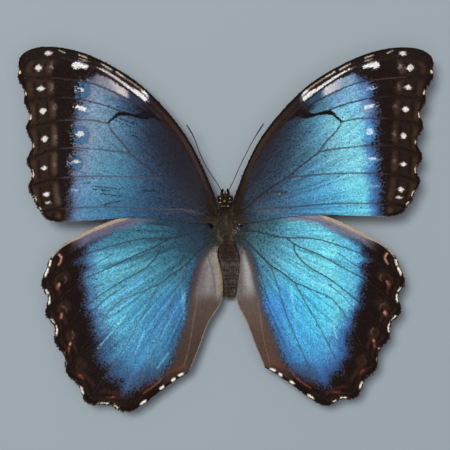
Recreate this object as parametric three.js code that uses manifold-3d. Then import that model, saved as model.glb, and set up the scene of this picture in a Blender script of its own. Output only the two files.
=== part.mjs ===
// Blue morpho butterfly, wings spread flat, standing on its four walking legs.
// Millimetres, +Z up, +Y towards the head, +X towards the insect's own right.
// Each wing is a thin curved slab between four named edges; the body is a row of ovals along
// a line; legs, feelers, palps and tongue are tubes of changing thickness.
import * as THREE from "three";
import { mergeVertices } from "three/addons/utils/BufferGeometryUtils.js";
import Module from "manifold-3d";

const wasm = await Module();
wasm.setup();

// Driving sizes
const GAP = 0.3; // clearance between neighbouring pieces
const MIDLINE_X = -0.25; // the head's own midline
const FRAME_SHIFT = [0, 0.25]; // puts the middle of the spread wings at X 0, Y 0

// Wings: how they stand
const WING_THICKNESS = 0.5;
const WING_ROOT_Z = 8.45; // middle of the hindwing's slab at the thorax
const FOREWING_LIFT = 0.95; // the forewing lies over the hindwing by this
const DIHEDRAL = 0.045; // rise per millimetre of reach
const WING_BOW = 0.9; // arch of the slab between root and tip
const WING_ROOT_X = 1.9;
const WING_REACH = 58;
const FOREWING_PITCH = 0.012; // leading edge higher than trailing edge
const HINDWING_PITCH = 0.02;
const HINGE_Y = 3; // both wings pitch about this line
const FOLD_LIFT = 0.35; // the hindwing's inner fold rises over the abdomen
const FOLD_LIFT_WIDTH = 4;

// Right forewing, root to tip along the leading edge
const FOREWING_COSTA = [
  [WING_ROOT_X, 6.9], [2.7, 9.75], [6, 18.3], [10, 25.9], [16.5, 34], [24, 40.9], [32, 45.8],
  [40, 49.2], [48, 50.7], [54, 50.2], [57.1, 48.4], [58, 46],
];
// Outer margin from apex to trailing corner: lobes and notches in turn
const FOREWING_MARGIN = [
  [58, 46], [57.4, 44.3], [57.8, 42.4], [55.8, 38.4], [55.9, 36], [54.2, 32.3], [55.2, 28.8],
  [53.3, 24.4], [54.9, 20], [53.2, 16.8], [54.2, 13], [52.5, 10], [52, 8.4], [51, 7.1], [49, 4.6],
  [44.9, 3.6],
];
const FOREWING_INNER = [
  [WING_ROOT_X, 0.9], [5.6, 1.6], [10, 2.3], [18, 3.5], [26, 4], [36, 3.7], [44.9, 3.6],
];

// Right hindwing: leading edge (its first half lies under the forewing), margin, inner margin
const HINDWING_COSTA = [
  [2.2, 2.3], [6, 4.2], [12, 5.2], [20, 5.2], [27.5, 3.8], [34, 1.2], [40, -2], [44, -4.4],
  [47.6, -8],
];
const HINDWING_MARGIN = [
  [47.6, -8], [48, -9.8], [49.8, -14.8], [48, -18.7], [48.8, -23], [46, -26.4], [45.5, -30.6],
  [42.7, -34.2], [42, -39.2], [39, -42], [36.4, -47.2], [32.2, -47.6], [28.4, -49.5], [24, -47.5],
  [18.5, -43.4], [13.6, -40.1], [10.8, -38.3],
];
const FOLD_EDGE_X = 3.3; // the inner fold's edge beside the abdomen
const HINDWING_INNER = [
  [2.2, -2.8], [3.9, -6], [3.9, -11], [FOLD_EDGE_X, -17], [FOLD_EDGE_X, -20.5], [5.8, -25.6],
  [8.3, -32.3], [10.8, -38.3],
];

// Right forewing: below its tip the outer part stands a little nearer the body
const RIGHT_FOREWING_TUCK = 0.4;
const TUCK_X = [10, 40];
const TUCK_Y = [38, 46];

// Left wings: the right ones mirrored, set a little lower and wider
const LEFT_FOREWING_SPREAD = 0.02;
const LEFT_FOREWING_DROP = 0.045;
const LEFT_COSTA_LEAN = 0.9; // the leading edge leans out by this at COSTA_LEAN_X from the root
const COSTA_LEAN_X = 8;
const FOREWING_TIP_Y = 46.5;
const LEFT_HINDWING_LENGTH = 1.035;
const LEFT_INNER_SHIFT = -0.5; // its inner half stands nearer the body, its outer half further out
const LEFT_OUTER_SHIFT = 1.6;
const LEFT_SHIFT_X = [26, 38]; // between these the one shift turns into the other
const LEFT_LOWER_SPREAD = 0.9; // the outer half's rear part stands out further still
const LEFT_LOWER_Y = [24, 34];
const LEFT_FOLD_REACH = 2.2; // the left inner fold laps over the abdomen's flank
const LEFT_FOLD_Y = -13;
const LEFT_FOLD_LENGTH = 8;
const LEFT_FOLD_WIDTH = 4; // how far into the wing the fold shifts it

// Body ovals, back to front: [x, y, z, half width, half height]
const ABDOMEN = [
  [0.65, -19.9, 4.0, 0.5, 0.45], [0.75, -19.5, 4.05, 1.2, 1.05], [0.95, -18.5, 4.15, 1.75, 1.55],
  [1.1, -16.8, 4.4, 2.1, 1.9], [1.25, -14, 4.8, 2.45, 2.1], [0.9, -9, 5.3, 2.9, 2.3],
  [0.3, -5.4, 6.0, 2.55, 2.3], [0.05, -3.3, 6.7, 2.1, 2.1], [0, -2.9, 6.9, 1.4, 1.5],
];
const ABDOMEN_RINGS = 7; // visible segments behind the thorax
const RING_SWELL = 0.045; // each segment's belly stands out by this share of its size
const THORAX = [
  [0, -2.55, 7.1, 1.3, 1.6], [0, -2.0, 7.1, 2.2, 2.5], [0, -0.4, 7.0, 2.85, 3.2],
  [0, 1.8, 6.95, 3.05, 3.35], [-0.05, 4.0, 7.0, 2.7, 3.05], [-0.15, 5.6, 7.1, 1.9, 2.3],
  [-0.2, 6.2, 7.15, 1.1, 1.4],
];
const HEAD = [
  [MIDLINE_X, 6.55, 7.2, 0.9, 1.2], [MIDLINE_X, 7.0, 7.2, 1.45, 1.75], [MIDLINE_X, 8.2, 7.25, 1.6, 1.95],
  [MIDLINE_X, 9.3, 7.1, 1.3, 1.65], [MIDLINE_X, 9.95, 6.95, 0.7, 0.95],
];
const EYE_OUT = 1.33; // eye centre from the midline
const EYE_CENTRE = [8.55, 7.35];
const EYE_RADII = [0.97, 1.12, 1.35];

// Head appendages, as distances out from the midline
const ANTENNA_RIGHT = [
  [0.75, 8.9, 8.3], [1.1, 10.9, 9.3], [2.25, 13.3, 9.9], [4.25, 17.8, 10.7], [6.25, 21.8, 11.4],
  [8.25, 25.5, 12.1], [10.75, 29.4, 12.9],
];
const ANTENNA_LEFT = [
  [-0.75, 8.9, 8.3], [-1.35, 11.3, 9.3], [-3.5, 14.7, 10.1], [-5.5, 17.9, 10.8], [-7.2, 21.5, 11.5],
  [-8.7, 25.6, 12.2], [-10.75, 29.1, 12.9],
];
const FEELER_RADIUS = 0.25;
const CLUB_RADIUS = 0.36;
const PALP_PATH = [[0.95, 9.1, 5.7], [0.95, 10.2, 6.1], [0.72, 10.95, 7.1], [0.65, 11.15, 8.3]];
const PALP_RADII = [0.4, 0.42, 0.36, 0.2];
const TONGUE_RADIUS = 0.25;
const TONGUE_COIL = 1.5;
const TONGUE_CORE = 0.45;
const TONGUE_TURNS = 1.25;
const TONGUE_CENTRE = [9.3, 4.4];
const MOUTH_Z = 6.6; // where the tongue leaves the head

// Legs: joints from the thorax outwards, for the right side
const FOOT_RADIUS = 0.28;
const FOOT_Z = 0.2; // tarsus axis above the floor, less than its radius, so that its sole is flat
const FORELEG = { joints: [[1.1, 4.6, 4.8], [1.6, 6.7, 3.7], [1.45, 8.4, 4.8]], radii: [0.5, 0.42, 0.26] };
const MIDLEG = {
  joints: [
    [1.0, 2.6, 4.9], [1.7, 3.0, 3.1], [6.6, 4.8, 6.7], [9.4, 7.3, 0.9], [9.8, 7.9, FOOT_Z],
    [11.6, 10.8, FOOT_Z],
  ],
  radii: [0.7, 0.6, 0.45, 0.32, FOOT_RADIUS, FOOT_RADIUS],
};
const HINDLEG = {
  joints: [
    [1.0, -0.4, 4.9], [1.6, -0.9, 3.2], [6.2, -3.6, 6.6], [8.6, -8.0, 0.9], [8.9, -8.7, FOOT_Z],
    [10.1, -12.2, FOOT_Z],
  ],
  radii: [0.7, 0.6, 0.45, 0.32, FOOT_RADIUS, FOOT_RADIUS],
};
const JOINT_ROUNDING = 0.35;
const JOINT_SHARE = 0.4; // a rounding takes up at most this share of a leg's piece

// Facet counts: steps run along a piece, sides go round it
const WING_STEPS = 8;
const MARGIN_STEPS = 2; // per lobe or notch
const TIP_CROWDING = 1.6; // steps get shorter towards the wing's tip, where its edge curves most
const THORAX_FACETS = { steps: 12, sides: 16 };
const ABDOMEN_FACETS = { steps: 28, sides: 14 };
const HEAD_FACETS = { steps: 8, sides: 14 };
const EYE_FACETS = [12, 8];
const PALP_FACETS = { steps: 6, sides: 8 };
const FEELER_FACETS = { steps: 14, sides: 6 };
const TONGUE_FACETS = { steps: 22, sides: 6 };
const POINTS_PER_TURN = 10; // of the tongue's coil
const FORELEG_FACETS = { steps: 8, sides: 8 };
const WALKING_LEG_FACETS = { steps: 18, sides: 8 };

const finish = {
  forewing: { color: 0x3d7fa8, roughness: 0.42, metalness: 0.35 },
  hindwing: { color: 0x3d8db5, roughness: 0.42, metalness: 0.35 },
  body: { color: 0x2e231d, roughness: 0.85, metalness: 0 },
  eye: { color: 0x120d0b, roughness: 0.12, metalness: 0 },
  limb: { color: 0x2a1d16, roughness: 0.55, metalness: 0 },
  palp: { color: 0x5a2c1e, roughness: 0.8, metalness: 0 },
};

function curveThrough(points) {
  const spots = points.map(([x, y, z = 0]) => new THREE.Vector3(x, y, z));
  return new THREE.CatmullRomCurve3(spots, false, "centripetal");
}

// Turns a closed surface whose faces look inwards inside out.
function facingOut(geometry) {
  const place = geometry.attributes.position;
  const index = geometry.index.array;
  const [a, b, c] = [new THREE.Vector3(), new THREE.Vector3(), new THREE.Vector3()];
  let volume = 0;
  for (let i = 0; i < index.length; i += 3) {
    a.fromBufferAttribute(place, index[i]);
    b.fromBufferAttribute(place, index[i + 1]);
    c.fromBufferAttribute(place, index[i + 2]);
    volume += a.dot(b.cross(c));
  }
  if (volume < 0) {
    for (let i = 0; i < index.length; i += 3) {
      [index[i], index[i + 1]] = [index[i + 1], index[i]];
    }
  }
  return geometry;
}

function closedSurface(points, faces) {
  const geometry = new THREE.BufferGeometry();
  geometry.setAttribute("position", new THREE.Float32BufferAttribute(points.flat(), 3));
  geometry.setIndex(faces.flat());
  return facingOut(geometry);
}

// Joins equal rings of points into a closed body, with a fan over each end.
function bodyOfRings(rings) {
  const sides = rings[0].length;
  const points = rings.flat();
  const faces = [];
  for (let r = 0; r + 1 < rings.length; r++) {
    for (let s = 0; s < sides; s++) {
      const next = (s + 1) % sides;
      const [a, b] = [r * sides + s, r * sides + next];
      faces.push([a, b, b + sides], [a, b + sides, a + sides]);
    }
  }
  for (const r of [0, rings.length - 1]) {
    const middle = [0, 1, 2].map((k) => rings[r].reduce((sum, p) => sum + p[k], 0) / sides);
    points.push(middle);
    for (let s = 0; s < sides; s++) {
      const edge = [r * sides + s, r * sides + ((s + 1) % sides)];
      faces.push(r === 0 ? [points.length - 1, edge[1], edge[0]] : [points.length - 1, ...edge]);
    }
  }
  return closedSurface(points, faces);
}

// Ovals along the body's line. swell(t) scales them, and grow widens the whole body.
function ovals(stations, { steps, sides, grow = 0, swell = () => 1 }) {
  const line = curveThrough(stations);
  const size = curveThrough(stations.map(([, , , width, height]) => [width, height]));
  const rings = [];
  for (let i = 0; i <= steps; i++) {
    const t = i / steps;
    const centre = line.getPoint(t);
    const half = size.getPoint(t).multiplyScalar(swell(t));
    const pushed = i === 0 ? -grow : i === steps ? grow : 0;
    const ring = [];
    for (let s = 0; s < sides; s++) {
      const angle = (2 * Math.PI * s) / sides;
      ring.push([
        centre.x + (half.x + grow) * Math.sin(angle),
        centre.y + pushed,
        centre.z + (half.y + grow) * Math.cos(angle),
      ]);
    }
    rings.push(ring);
  }
  return bodyOfRings(rings);
}

// A round tube along a smooth path, its radius following the list; it never goes below the floor.
function tube(path, radii, { steps, sides }) {
  const line = curveThrough(path);
  const size = curveThrough(radii.map((radius) => [radius, 0]));
  const frames = line.computeFrenetFrames(steps, false);
  const rings = [];
  for (let i = 0; i <= steps; i++) {
    const centre = line.getPointAt(i / steps);
    const radius = size.getPoint(line.getUtoTmapping(i / steps)).x;
    const ring = [];
    for (let s = 0; s < sides; s++) {
      const angle = (2 * Math.PI * s) / sides;
      const spoke = frames.normals[i].clone().multiplyScalar(Math.cos(angle) * radius);
      spoke.addScaledVector(frames.binormals[i], Math.sin(angle) * radius).add(centre);
      ring.push([spoke.x, spoke.y, Math.max(spoke.z, 0)]);
    }
    rings.push(ring);
  }
  return bodyOfRings(rings);
}

function solidOf(geometry) {
  const bare = geometry.clone();
  bare.deleteAttribute("normal");
  bare.deleteAttribute("uv");
  const merged = mergeVertices(bare, 1e-5);
  const mesh = new wasm.Mesh({
    numProp: 3,
    vertProperties: new Float32Array(merged.attributes.position.array),
    triVerts: new Uint32Array(merged.index.array),
  });
  return new wasm.Manifold(mesh);
}

// The piece with its neighbours' space cut away.
function cutClear(geometry, ...neighbours) {
  let solid = solidOf(geometry);
  for (const neighbour of neighbours) {
    solid = solid.subtract(solidOf(neighbour));
  }
  const mesh = solid.getMesh();
  const cut = new THREE.BufferGeometry();
  cut.setAttribute("position", new THREE.BufferAttribute(new Float32Array(mesh.vertProperties), 3));
  cut.setIndex(new THREE.BufferAttribute(new Uint32Array(mesh.triVerts), 1));
  return cut;
}

function wingHeight(x, y) {
  const reach = Math.abs(x) - WING_ROOT_X;
  return WING_ROOT_Z + DIHEDRAL * reach + WING_BOW * Math.sin((Math.PI * reach) / WING_REACH);
}

const forewingHeight = (x, y) => wingHeight(x, y) + FOREWING_LIFT + FOREWING_PITCH * (y - HINGE_Y);
function hindwingHeight(x, y) {
  const besideBody = Math.exp(-((x / FOLD_LIFT_WIDTH) ** 2)) * THREE.MathUtils.smoothstep(-y, 2, 8);
  return wingHeight(x, y) + HINDWING_PITCH * (y - HINGE_Y) + FOLD_LIFT * besideBody;
}

function rightForewingPlan(x, y) {
  const belowTip = 1 - THREE.MathUtils.smoothstep(y, ...TUCK_Y);
  return [x - RIGHT_FOREWING_TUCK * THREE.MathUtils.smoothstep(x, ...TUCK_X) * belowTip, y];
}

// How the right wing's plan moves to give the left one, before mirroring.
function leftForewingPlan(x, y) {
  const drop = FOREWING_TIP_Y - y;
  const lean = (LEFT_COSTA_LEAN * x * Math.exp(1 - x / COSTA_LEAN_X)) / COSTA_LEAN_X;
  const span = x / WING_REACH;
  return [x + lean + LEFT_FOREWING_SPREAD * drop * span, y - LEFT_FOREWING_DROP * drop * span];
}

function leftHindwingPlan(x, y) {
  const outwards = THREE.MathUtils.smoothstep(x, ...LEFT_SHIFT_X);
  const spread = LEFT_LOWER_SPREAD * THREE.MathUtils.smoothstep(-y, ...LEFT_LOWER_Y);
  const shift = THREE.MathUtils.lerp(LEFT_INNER_SHIFT, LEFT_OUTER_SHIFT + spread, outwards);
  const along = Math.exp(-(((y - LEFT_FOLD_Y) / LEFT_FOLD_LENGTH) ** 2));
  const nearBody = Math.exp(-Math.max(x - FOLD_EDGE_X, 0) / LEFT_FOLD_WIDTH);
  return [x + shift - LEFT_FOLD_REACH * along * nearBody, y * LEFT_HINDWING_LENGTH];
}

// A slab over the patch between four edges: costa and inner margin run from root to tip, and
// each point blends the edges in proportion to its place between them.
function wing({ costa, inner, margin, height, plan, side }) {
  const [front, back, outer] = [curveThrough(costa), curveThrough(inner), curveThrough(margin)];
  const root = curveThrough([costa[0], inner[0]]);
  const steps = WING_STEPS;
  const across = (margin.length - 1) * MARGIN_STEPS;
  const points = [];
  const face = [];
  for (const level of [1, -1]) {
    for (let i = 0; i <= steps; i++) {
      for (let j = 0; j <= across; j++) {
        const [u, v] = [1 - (1 - i / steps) ** TIP_CROWDING, j / across];
        const [f, b] = [front.getPointAt(u), back.getPointAt(u)];
        const [r, o] = [root.getPoint(v), outer.getPoint(v)];
        const blend = ["x", "y"].map((k) => {
          const edges = (1 - v) * f[k] + v * b[k] + (1 - u) * r[k] + u * o[k];
          const near = (1 - u) * ((1 - v) * root.points[0][k] + v * root.points[1][k]);
          const far = u * ((1 - v) * outer.points[0][k] + v * outer.points.at(-1)[k]);
          return edges - near - far;
        });
        const [x, y] = plan(...blend);
        points.push([side * x, y, height(x, y) + (level * WING_THICKNESS) / 2]);
      }
    }
  }
  const at = (i, j, level) => level * (steps + 1) * (across + 1) + i * (across + 1) + j;
  for (let i = 0; i < steps; i++) {
    for (let j = 0; j < across; j++) {
      const [a, b, c, d] = [[i, j], [i + 1, j], [i + 1, j + 1], [i, j + 1]];
      face.push([at(...a, 0), at(...b, 0), at(...c, 0)], [at(...a, 0), at(...c, 0), at(...d, 0)]);
      face.push([at(...a, 1), at(...c, 1), at(...b, 1)], [at(...a, 1), at(...d, 1), at(...c, 1)]);
    }
  }
  const rim = [];
  for (let i = 0; i < steps; i++) {
    rim.push([i, 0]);
  }
  for (let j = 0; j < across; j++) {
    rim.push([steps, j]);
  }
  for (let i = steps; i > 0; i--) {
    rim.push([i, across]);
  }
  for (let j = across; j > 0; j--) {
    rim.push([0, j]);
  }
  rim.forEach((p, k) => {
    const q = rim[(k + 1) % rim.length];
    face.push([at(...p, 0), at(...p, 1), at(...q, 1)], [at(...p, 0), at(...q, 1), at(...q, 0)]);
  });
  return closedSurface(points, face);
}

// Two close points in place of each joint, so that the limb bends sharply but smoothly.
function limbPath({ joints, radii }) {
  const path = [joints[0]];
  const sizes = [radii[0]];
  for (let i = 1; i + 1 < joints.length; i++) {
    for (const other of [joints[i - 1], joints[i + 1]]) {
      const towards = other.map((value, k) => value - joints[i][k]);
      const share = Math.min(JOINT_ROUNDING / Math.hypot(...towards), JOINT_SHARE);
      path.push(joints[i].map((value, k) => value + towards[k] * share));
      sizes.push(radii[i]);
    }
  }
  path.push(joints.at(-1));
  sizes.push(radii.at(-1));
  return [path, sizes];
}

const mirrored = (points, side) => points.map(([x, y, z]) => [side * x, y, z]);
const fromMidline = (points) => points.map(([x, y, z]) => [MIDLINE_X + x, y, z]);

function leg({ joints, radii }, side, facets, thoraxSpace) {
  const [path, sizes] = limbPath({ joints: mirrored(joints, side), radii });
  return cutClear(tube(path, sizes, facets), thoraxSpace);
}

function eye(side, grow = 0) {
  const ball = new THREE.SphereGeometry(1, ...EYE_FACETS);
  ball.scale(...EYE_RADII.map((radius) => radius + grow));
  ball.translate(MIDLINE_X + side * EYE_OUT, ...EYE_CENTRE);
  ball.deleteAttribute("normal");
  ball.deleteAttribute("uv");
  return mergeVertices(ball, 1e-4);
}

function tongue(headSpace) {
  const path = [[MIDLINE_X, TONGUE_CENTRE[0] - TONGUE_COIL, MOUTH_Z]];
  const points = POINTS_PER_TURN * TONGUE_TURNS;
  for (let i = 0; i <= points; i++) {
    const angle = Math.PI - (2 * Math.PI * i) / POINTS_PER_TURN;
    const radius = TONGUE_COIL + ((TONGUE_CORE - TONGUE_COIL) * i) / points;
    path.push([
      MIDLINE_X,
      TONGUE_CENTRE[0] + radius * Math.cos(angle),
      TONGUE_CENTRE[1] - radius * Math.sin(angle),
    ]);
  }
  const radii = path.map(() => TONGUE_RADIUS);
  return cutClear(tube(path, radii, TONGUE_FACETS), headSpace);
}

const segmentSwell = (t) => 1 + RING_SWELL * Math.abs(Math.sin(Math.PI * ABDOMEN_RINGS * t));
const thoraxSpace = ovals(THORAX, { ...THORAX_FACETS, grow: GAP });
const headSpace = ovals(HEAD, { ...HEAD_FACETS, grow: GAP });

const butterfly = new THREE.Group();
butterfly.position.set(...FRAME_SHIFT, 0);

function add(name, geometry, look) {
  geometry.computeVertexNormals();
  const mesh = new THREE.Mesh(geometry, new THREE.MeshStandardMaterial(look));
  mesh.name = name;
  butterfly.add(mesh);
}

add("thorax", ovals(THORAX, THORAX_FACETS), finish.body);
add("abdomen", ovals(ABDOMEN, { ...ABDOMEN_FACETS, swell: segmentSwell }), finish.body);
const sockets = [1, -1].map((side) => eye(side, GAP));
add("head", cutClear(ovals(HEAD, HEAD_FACETS), ...sockets), finish.body);
add("proboscis", tongue(headSpace), finish.palp);

for (const [name, side] of [["right", 1], ["left", -1]]) {
  const isLeft = side < 0;
  add(`eye_${name}`, eye(side), finish.eye);
  const palp = tube(fromMidline(mirrored(PALP_PATH, side)), PALP_RADII, PALP_FACETS);
  add(`palp_${name}`, cutClear(palp, headSpace), finish.palp);
  const feelerPath = fromMidline(isLeft ? ANTENNA_LEFT : ANTENNA_RIGHT);
  const feelerRadii = feelerPath.map(() => FEELER_RADIUS).with(-1, CLUB_RADIUS);
  const feeler = tube(feelerPath, feelerRadii, FEELER_FACETS);
  add(`antenna_${name}`, cutClear(feeler, headSpace), finish.limb);
  const forewing = wing({
    costa: FOREWING_COSTA,
    inner: FOREWING_INNER,
    margin: FOREWING_MARGIN,
    height: forewingHeight,
    plan: isLeft ? leftForewingPlan : rightForewingPlan,
    side,
  });
  add(`forewing_${name}`, cutClear(forewing, thoraxSpace), finish.forewing);
  const hindwing = wing({
    costa: HINDWING_COSTA,
    inner: HINDWING_INNER,
    margin: HINDWING_MARGIN,
    height: hindwingHeight,
    plan: isLeft ? leftHindwingPlan : (x, y) => [x, y],
    side,
  });
  add(`hindwing_${name}`, cutClear(hindwing, thoraxSpace), finish.hindwing);
  add(`foreleg_${name}`, leg(FORELEG, side, FORELEG_FACETS, thoraxSpace), finish.limb);
  add(`midleg_${name}`, leg(MIDLEG, side, WALKING_LEG_FACETS, thoraxSpace), finish.limb);
  add(`hindleg_${name}`, leg(HINDLEG, side, WALKING_LEG_FACETS, thoraxSpace), finish.limb);
}

export default butterfly;
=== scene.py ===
import bpy
import numpy as np
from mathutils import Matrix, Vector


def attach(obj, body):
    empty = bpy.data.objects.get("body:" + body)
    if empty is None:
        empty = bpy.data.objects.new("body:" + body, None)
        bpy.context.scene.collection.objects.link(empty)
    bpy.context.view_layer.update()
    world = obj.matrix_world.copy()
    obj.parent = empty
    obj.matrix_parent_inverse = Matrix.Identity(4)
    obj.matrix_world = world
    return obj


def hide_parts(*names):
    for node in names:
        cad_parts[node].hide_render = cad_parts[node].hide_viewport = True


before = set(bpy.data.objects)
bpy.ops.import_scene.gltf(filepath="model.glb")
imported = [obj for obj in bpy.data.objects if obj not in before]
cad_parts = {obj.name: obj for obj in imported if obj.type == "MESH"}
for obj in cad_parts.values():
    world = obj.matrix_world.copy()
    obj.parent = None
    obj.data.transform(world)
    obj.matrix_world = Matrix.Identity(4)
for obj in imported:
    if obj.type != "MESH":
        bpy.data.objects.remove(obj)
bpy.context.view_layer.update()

# A blue morpho butterfly with its wings spread, standing on its own four walking legs.
# Lengths are in millimetres up to the moment a mesh is made. +Y is towards the head and +X
# towards the insect's own right. Markings and edges are given for the right wings; the left
# wings carry them through the same small change of plan that mirrors their outline.
MM = 0.001
FRAME_SHIFT = np.array([0.0, 0.25, 0.0])  # the middle of the spread wings is at X 0, Y 0
MIDLINE_X = -0.25
rng = np.random.default_rng(20)


# ---------------- numbers and curves

def rgb(code):
    """A hex colour as three sRGB parts from 0 to 1."""
    return np.array([int(code[i : i + 2], 16) for i in (1, 3, 5)]) / 255


def linear(colour):
    """sRGB parts to linear light: a straight foot, then a power of 2.4."""
    colour = np.clip(colour, 0, 1)
    return np.where(colour <= 0.04045, colour / 12.92, ((colour + 0.055) / 1.055) ** 2.4)


def paint(code):
    """A hex colour as the linear red, green, blue and alpha that a shader socket takes."""
    return (*linear(rgb(code)), 1.0)


def fade(low, high, value):
    """0 below low, 1 above high, and the smooth cubic 3t^2 - 2t^3 between them."""
    t = np.clip((value - low) / (high - low), 0, 1)
    return t * t * (3 - 2 * t)


def hump(*gaps):
    """1 in the middle, falling smoothly all round: e to the power of minus the gaps' squares, added."""
    return np.exp(-sum(gap**2 for gap in gaps))


def lattice(i, j, seed):
    """One fixed random number from -1 to 1 for each pair of whole numbers: both are multiplied by
    large primes, added, and the sum's bits shuffled twice."""
    n = (i.astype(np.int64) * 374761393 + j.astype(np.int64) * 668265263 + seed * 974711) & 0xFFFFFFFF
    n = ((n ^ (n >> 13)) * 1274126177) & 0xFFFFFFFF
    return ((n ^ (n >> 16)) & 0xFFFF) / 32767.5 - 1


def grain(a, b, seed=0):
    """Smooth noise from -1 to 1: lattice numbers blended over each unit square by fade."""
    i, j = np.floor(a), np.floor(b)
    f, g = fade(0, 1, a - i), fade(0, 1, b - j)
    near = lattice(i, j, seed) * (1 - f) + lattice(i + 1, j, seed) * f
    far = lattice(i, j + 1, seed) * (1 - f) + lattice(i + 1, j + 1, seed) * f
    return near * (1 - g) + far * g


def curve(points, t):
    """Places at t (0 to 1, equal steps per point) on a smooth line through points.

    Each stretch is a cubic; its end slopes weigh the neighbouring stretches by the square
    roots of their lengths (a centripetal spline)."""
    p = np.asarray(points, float)
    p = np.vstack([2 * p[0] - p[1], p, 2 * p[-1] - p[-2]])
    i = np.minimum((np.asarray(t) * (len(p) - 3)).astype(int), len(p) - 4)
    w = (np.asarray(t) * (len(p) - 3) - i)[..., None]
    a, b, c, d = (p[i + k] for k in range(4))
    gap = [np.sqrt(np.linalg.norm(q - r, axis=-1, keepdims=True)) for q, r in ((b, a), (c, b), (d, c))]
    first = ((b - a) / gap[0] - (c - a) / (gap[0] + gap[1]) + (c - b) / gap[1]) * gap[1]
    last = ((c - b) / gap[1] - (d - b) / (gap[1] + gap[2]) + (d - c) / gap[2]) * gap[1]
    rise = -3 * b + 3 * c - 2 * first - last
    turn = 2 * b - 2 * c + first + last
    return b + first * w + rise * w**2 + turn * w**3


def even_curve(points, s):
    """Places at s (0 to 1) on the same line, in equal steps of its length."""
    fine = np.linspace(0, 1, 1200)
    line = curve(points, fine)
    run = np.r_[0, np.cumsum(np.linalg.norm(np.diff(line, axis=0), axis=1))]
    return curve(points, np.interp(s, run / run[-1], fine))


def unit(v):
    """Vectors made one long."""
    return v / np.maximum(np.linalg.norm(v, axis=-1, keepdims=True), 1e-12)


FAR = 1e9  # stands for a distance that isn't measured


def to_line(x, y, points, reach=FAR):
    """For each place: distance to a smooth line, and how far along the nearest point is (0 to 1).

    The line is cut into short straight pieces; places further than reach keep the distance FAR."""
    count = max(8, 3 * len(points))
    line = curve(points, np.linspace(0, 1, count))
    low, high = line.min(0) - reach, line.max(0) + reach
    near = (x > low[0]) & (x < high[0]) & (y > low[1]) & (y < high[1])
    px, py = x[near], y[near]
    best, along = np.full(px.shape, FAR), np.zeros(px.shape)
    for k in range(count - 1):
        (ax, ay), (bx, by) = line[k], line[k + 1]
        dx, dy = bx - ax, by - ay
        t = np.clip(((px - ax) * dx + (py - ay) * dy) / (dx * dx + dy * dy + 1e-12), 0, 1)
        gap = np.hypot(px - ax - t * dx, py - ay - t * dy)
        closer = gap < best
        best = np.where(closer, gap, best)
        along = np.where(closer, (k + t) / (count - 1), along)
    distance, place = np.full(x.shape, FAR), np.zeros(x.shape)
    distance[near] = best
    place[near] = along
    return distance, place


def inside(x, y, points):
    """Signed distance to a closed outline: positive within it."""
    p = np.asarray(points, float)
    edge, crossed = np.full(x.shape, FAR), np.zeros(x.shape, bool)
    for (ax, ay), (bx, by) in zip(p, np.roll(p, -1, axis=0)):
        dx, dy = bx - ax, by - ay
        t = np.clip(((x - ax) * dx + (y - ay) * dy) / (dx * dx + dy * dy + 1e-12), 0, 1)
        edge = np.minimum(edge, np.hypot(x - ax - t * dx, y - ay - t * dy))
        if ay != by:
            crossed ^= ((ay > y) != (by > y)) & (x < ax + dx * (y - ay) / dy)
    return np.where(crossed, edge, -edge)


# ---------------- wing shapes

MEMBRANE = 0.10  # half the membrane's thickness; the rest of the solid's depth is scales
WING_ROOT_Z, FOREWING_LIFT, DIHEDRAL, WING_BOW, WING_REACH = 8.45, 0.95, 0.045, 0.9, 58.0
FOREWING_PITCH, HINDWING_PITCH, HINGE_Y = 0.012, 0.02, 3.0
FOLD_LIFT, FOLD_LIFT_WIDTH = 0.35, 4.0
FRINGE = 0.45  # length of the hair scales round the outer margin
WING_RUN = 52.0  # how far a wing runs from root to tip, for the spacing of its rows
EDGE_STEPS = 1500  # places kept along each edge
STEP = 2e-3  # a small share of u, v or t, for finding directions

FOREWING_COSTA = [
    (1.9, 6.9), (2.7, 9.75), (6, 18.3), (10, 25.9), (16.5, 34), (24, 40.9), (32, 45.8),
    (40, 49.2), (48, 50.7), (54, 50.2), (57.1, 48.4), (58, 46),
]
FOREWING_MARGIN = [
    (58, 46), (57.4, 44.3), (57.8, 42.4), (55.8, 38.4), (55.9, 36), (54.2, 32.3), (55.2, 28.8),
    (53.3, 24.4), (54.9, 20), (53.2, 16.8), (54.2, 13), (52.5, 10), (52, 8.4), (51, 7.1),
    (49, 4.6), (44.9, 3.6),
]
FOREWING_INNER = [(1.9, 0.9), (5.6, 1.6), (10, 2.3), (18, 3.5), (26, 4), (36, 3.7), (44.9, 3.6)]
HINDWING_COSTA = [
    (2.2, 2.3), (6, 4.2), (12, 5.2), (20, 5.2), (27.5, 3.8), (34, 1.2), (40, -2), (44, -4.4),
    (47.6, -8),
]
HINDWING_MARGIN = [
    (47.6, -8), (48, -9.8), (49.8, -14.8), (48, -18.7), (48.8, -23), (46, -26.4), (45.5, -30.6),
    (42.7, -34.2), (42, -39.2), (39, -42), (36.4, -47.2), (32.2, -47.6), (28.4, -49.5),
    (24, -47.5), (18.5, -43.4), (13.6, -40.1), (10.8, -38.3),
]
HINDWING_INNER = [
    (2.2, -2.8), (3.9, -6), (3.9, -11), (3.3, -17), (3.3, -20.5), (5.8, -25.6), (8.3, -32.3),
    (10.8, -38.3),
]
FOREWING_ROOT, HINDWING_ROOT = (2.0, 4.0), (2.5, -0.5)


def right_forewing_plan(x, y):
    """The right forewing: below its tip the outer part stands a little nearer the body."""
    return x - 0.4 * fade(10, 40, x) * (1 - fade(38, 46, y)), y


def left_forewing_plan(x, y):
    """The left forewing before mirroring: its rear edge lower and wider, its front edge leaning out."""
    drop, span = 46.5 - y, x / WING_REACH
    lean = 0.9 * x * np.exp(1 - x / 8) / 8
    return x + lean + 0.02 * drop * span, y - 0.045 * drop * span


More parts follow.
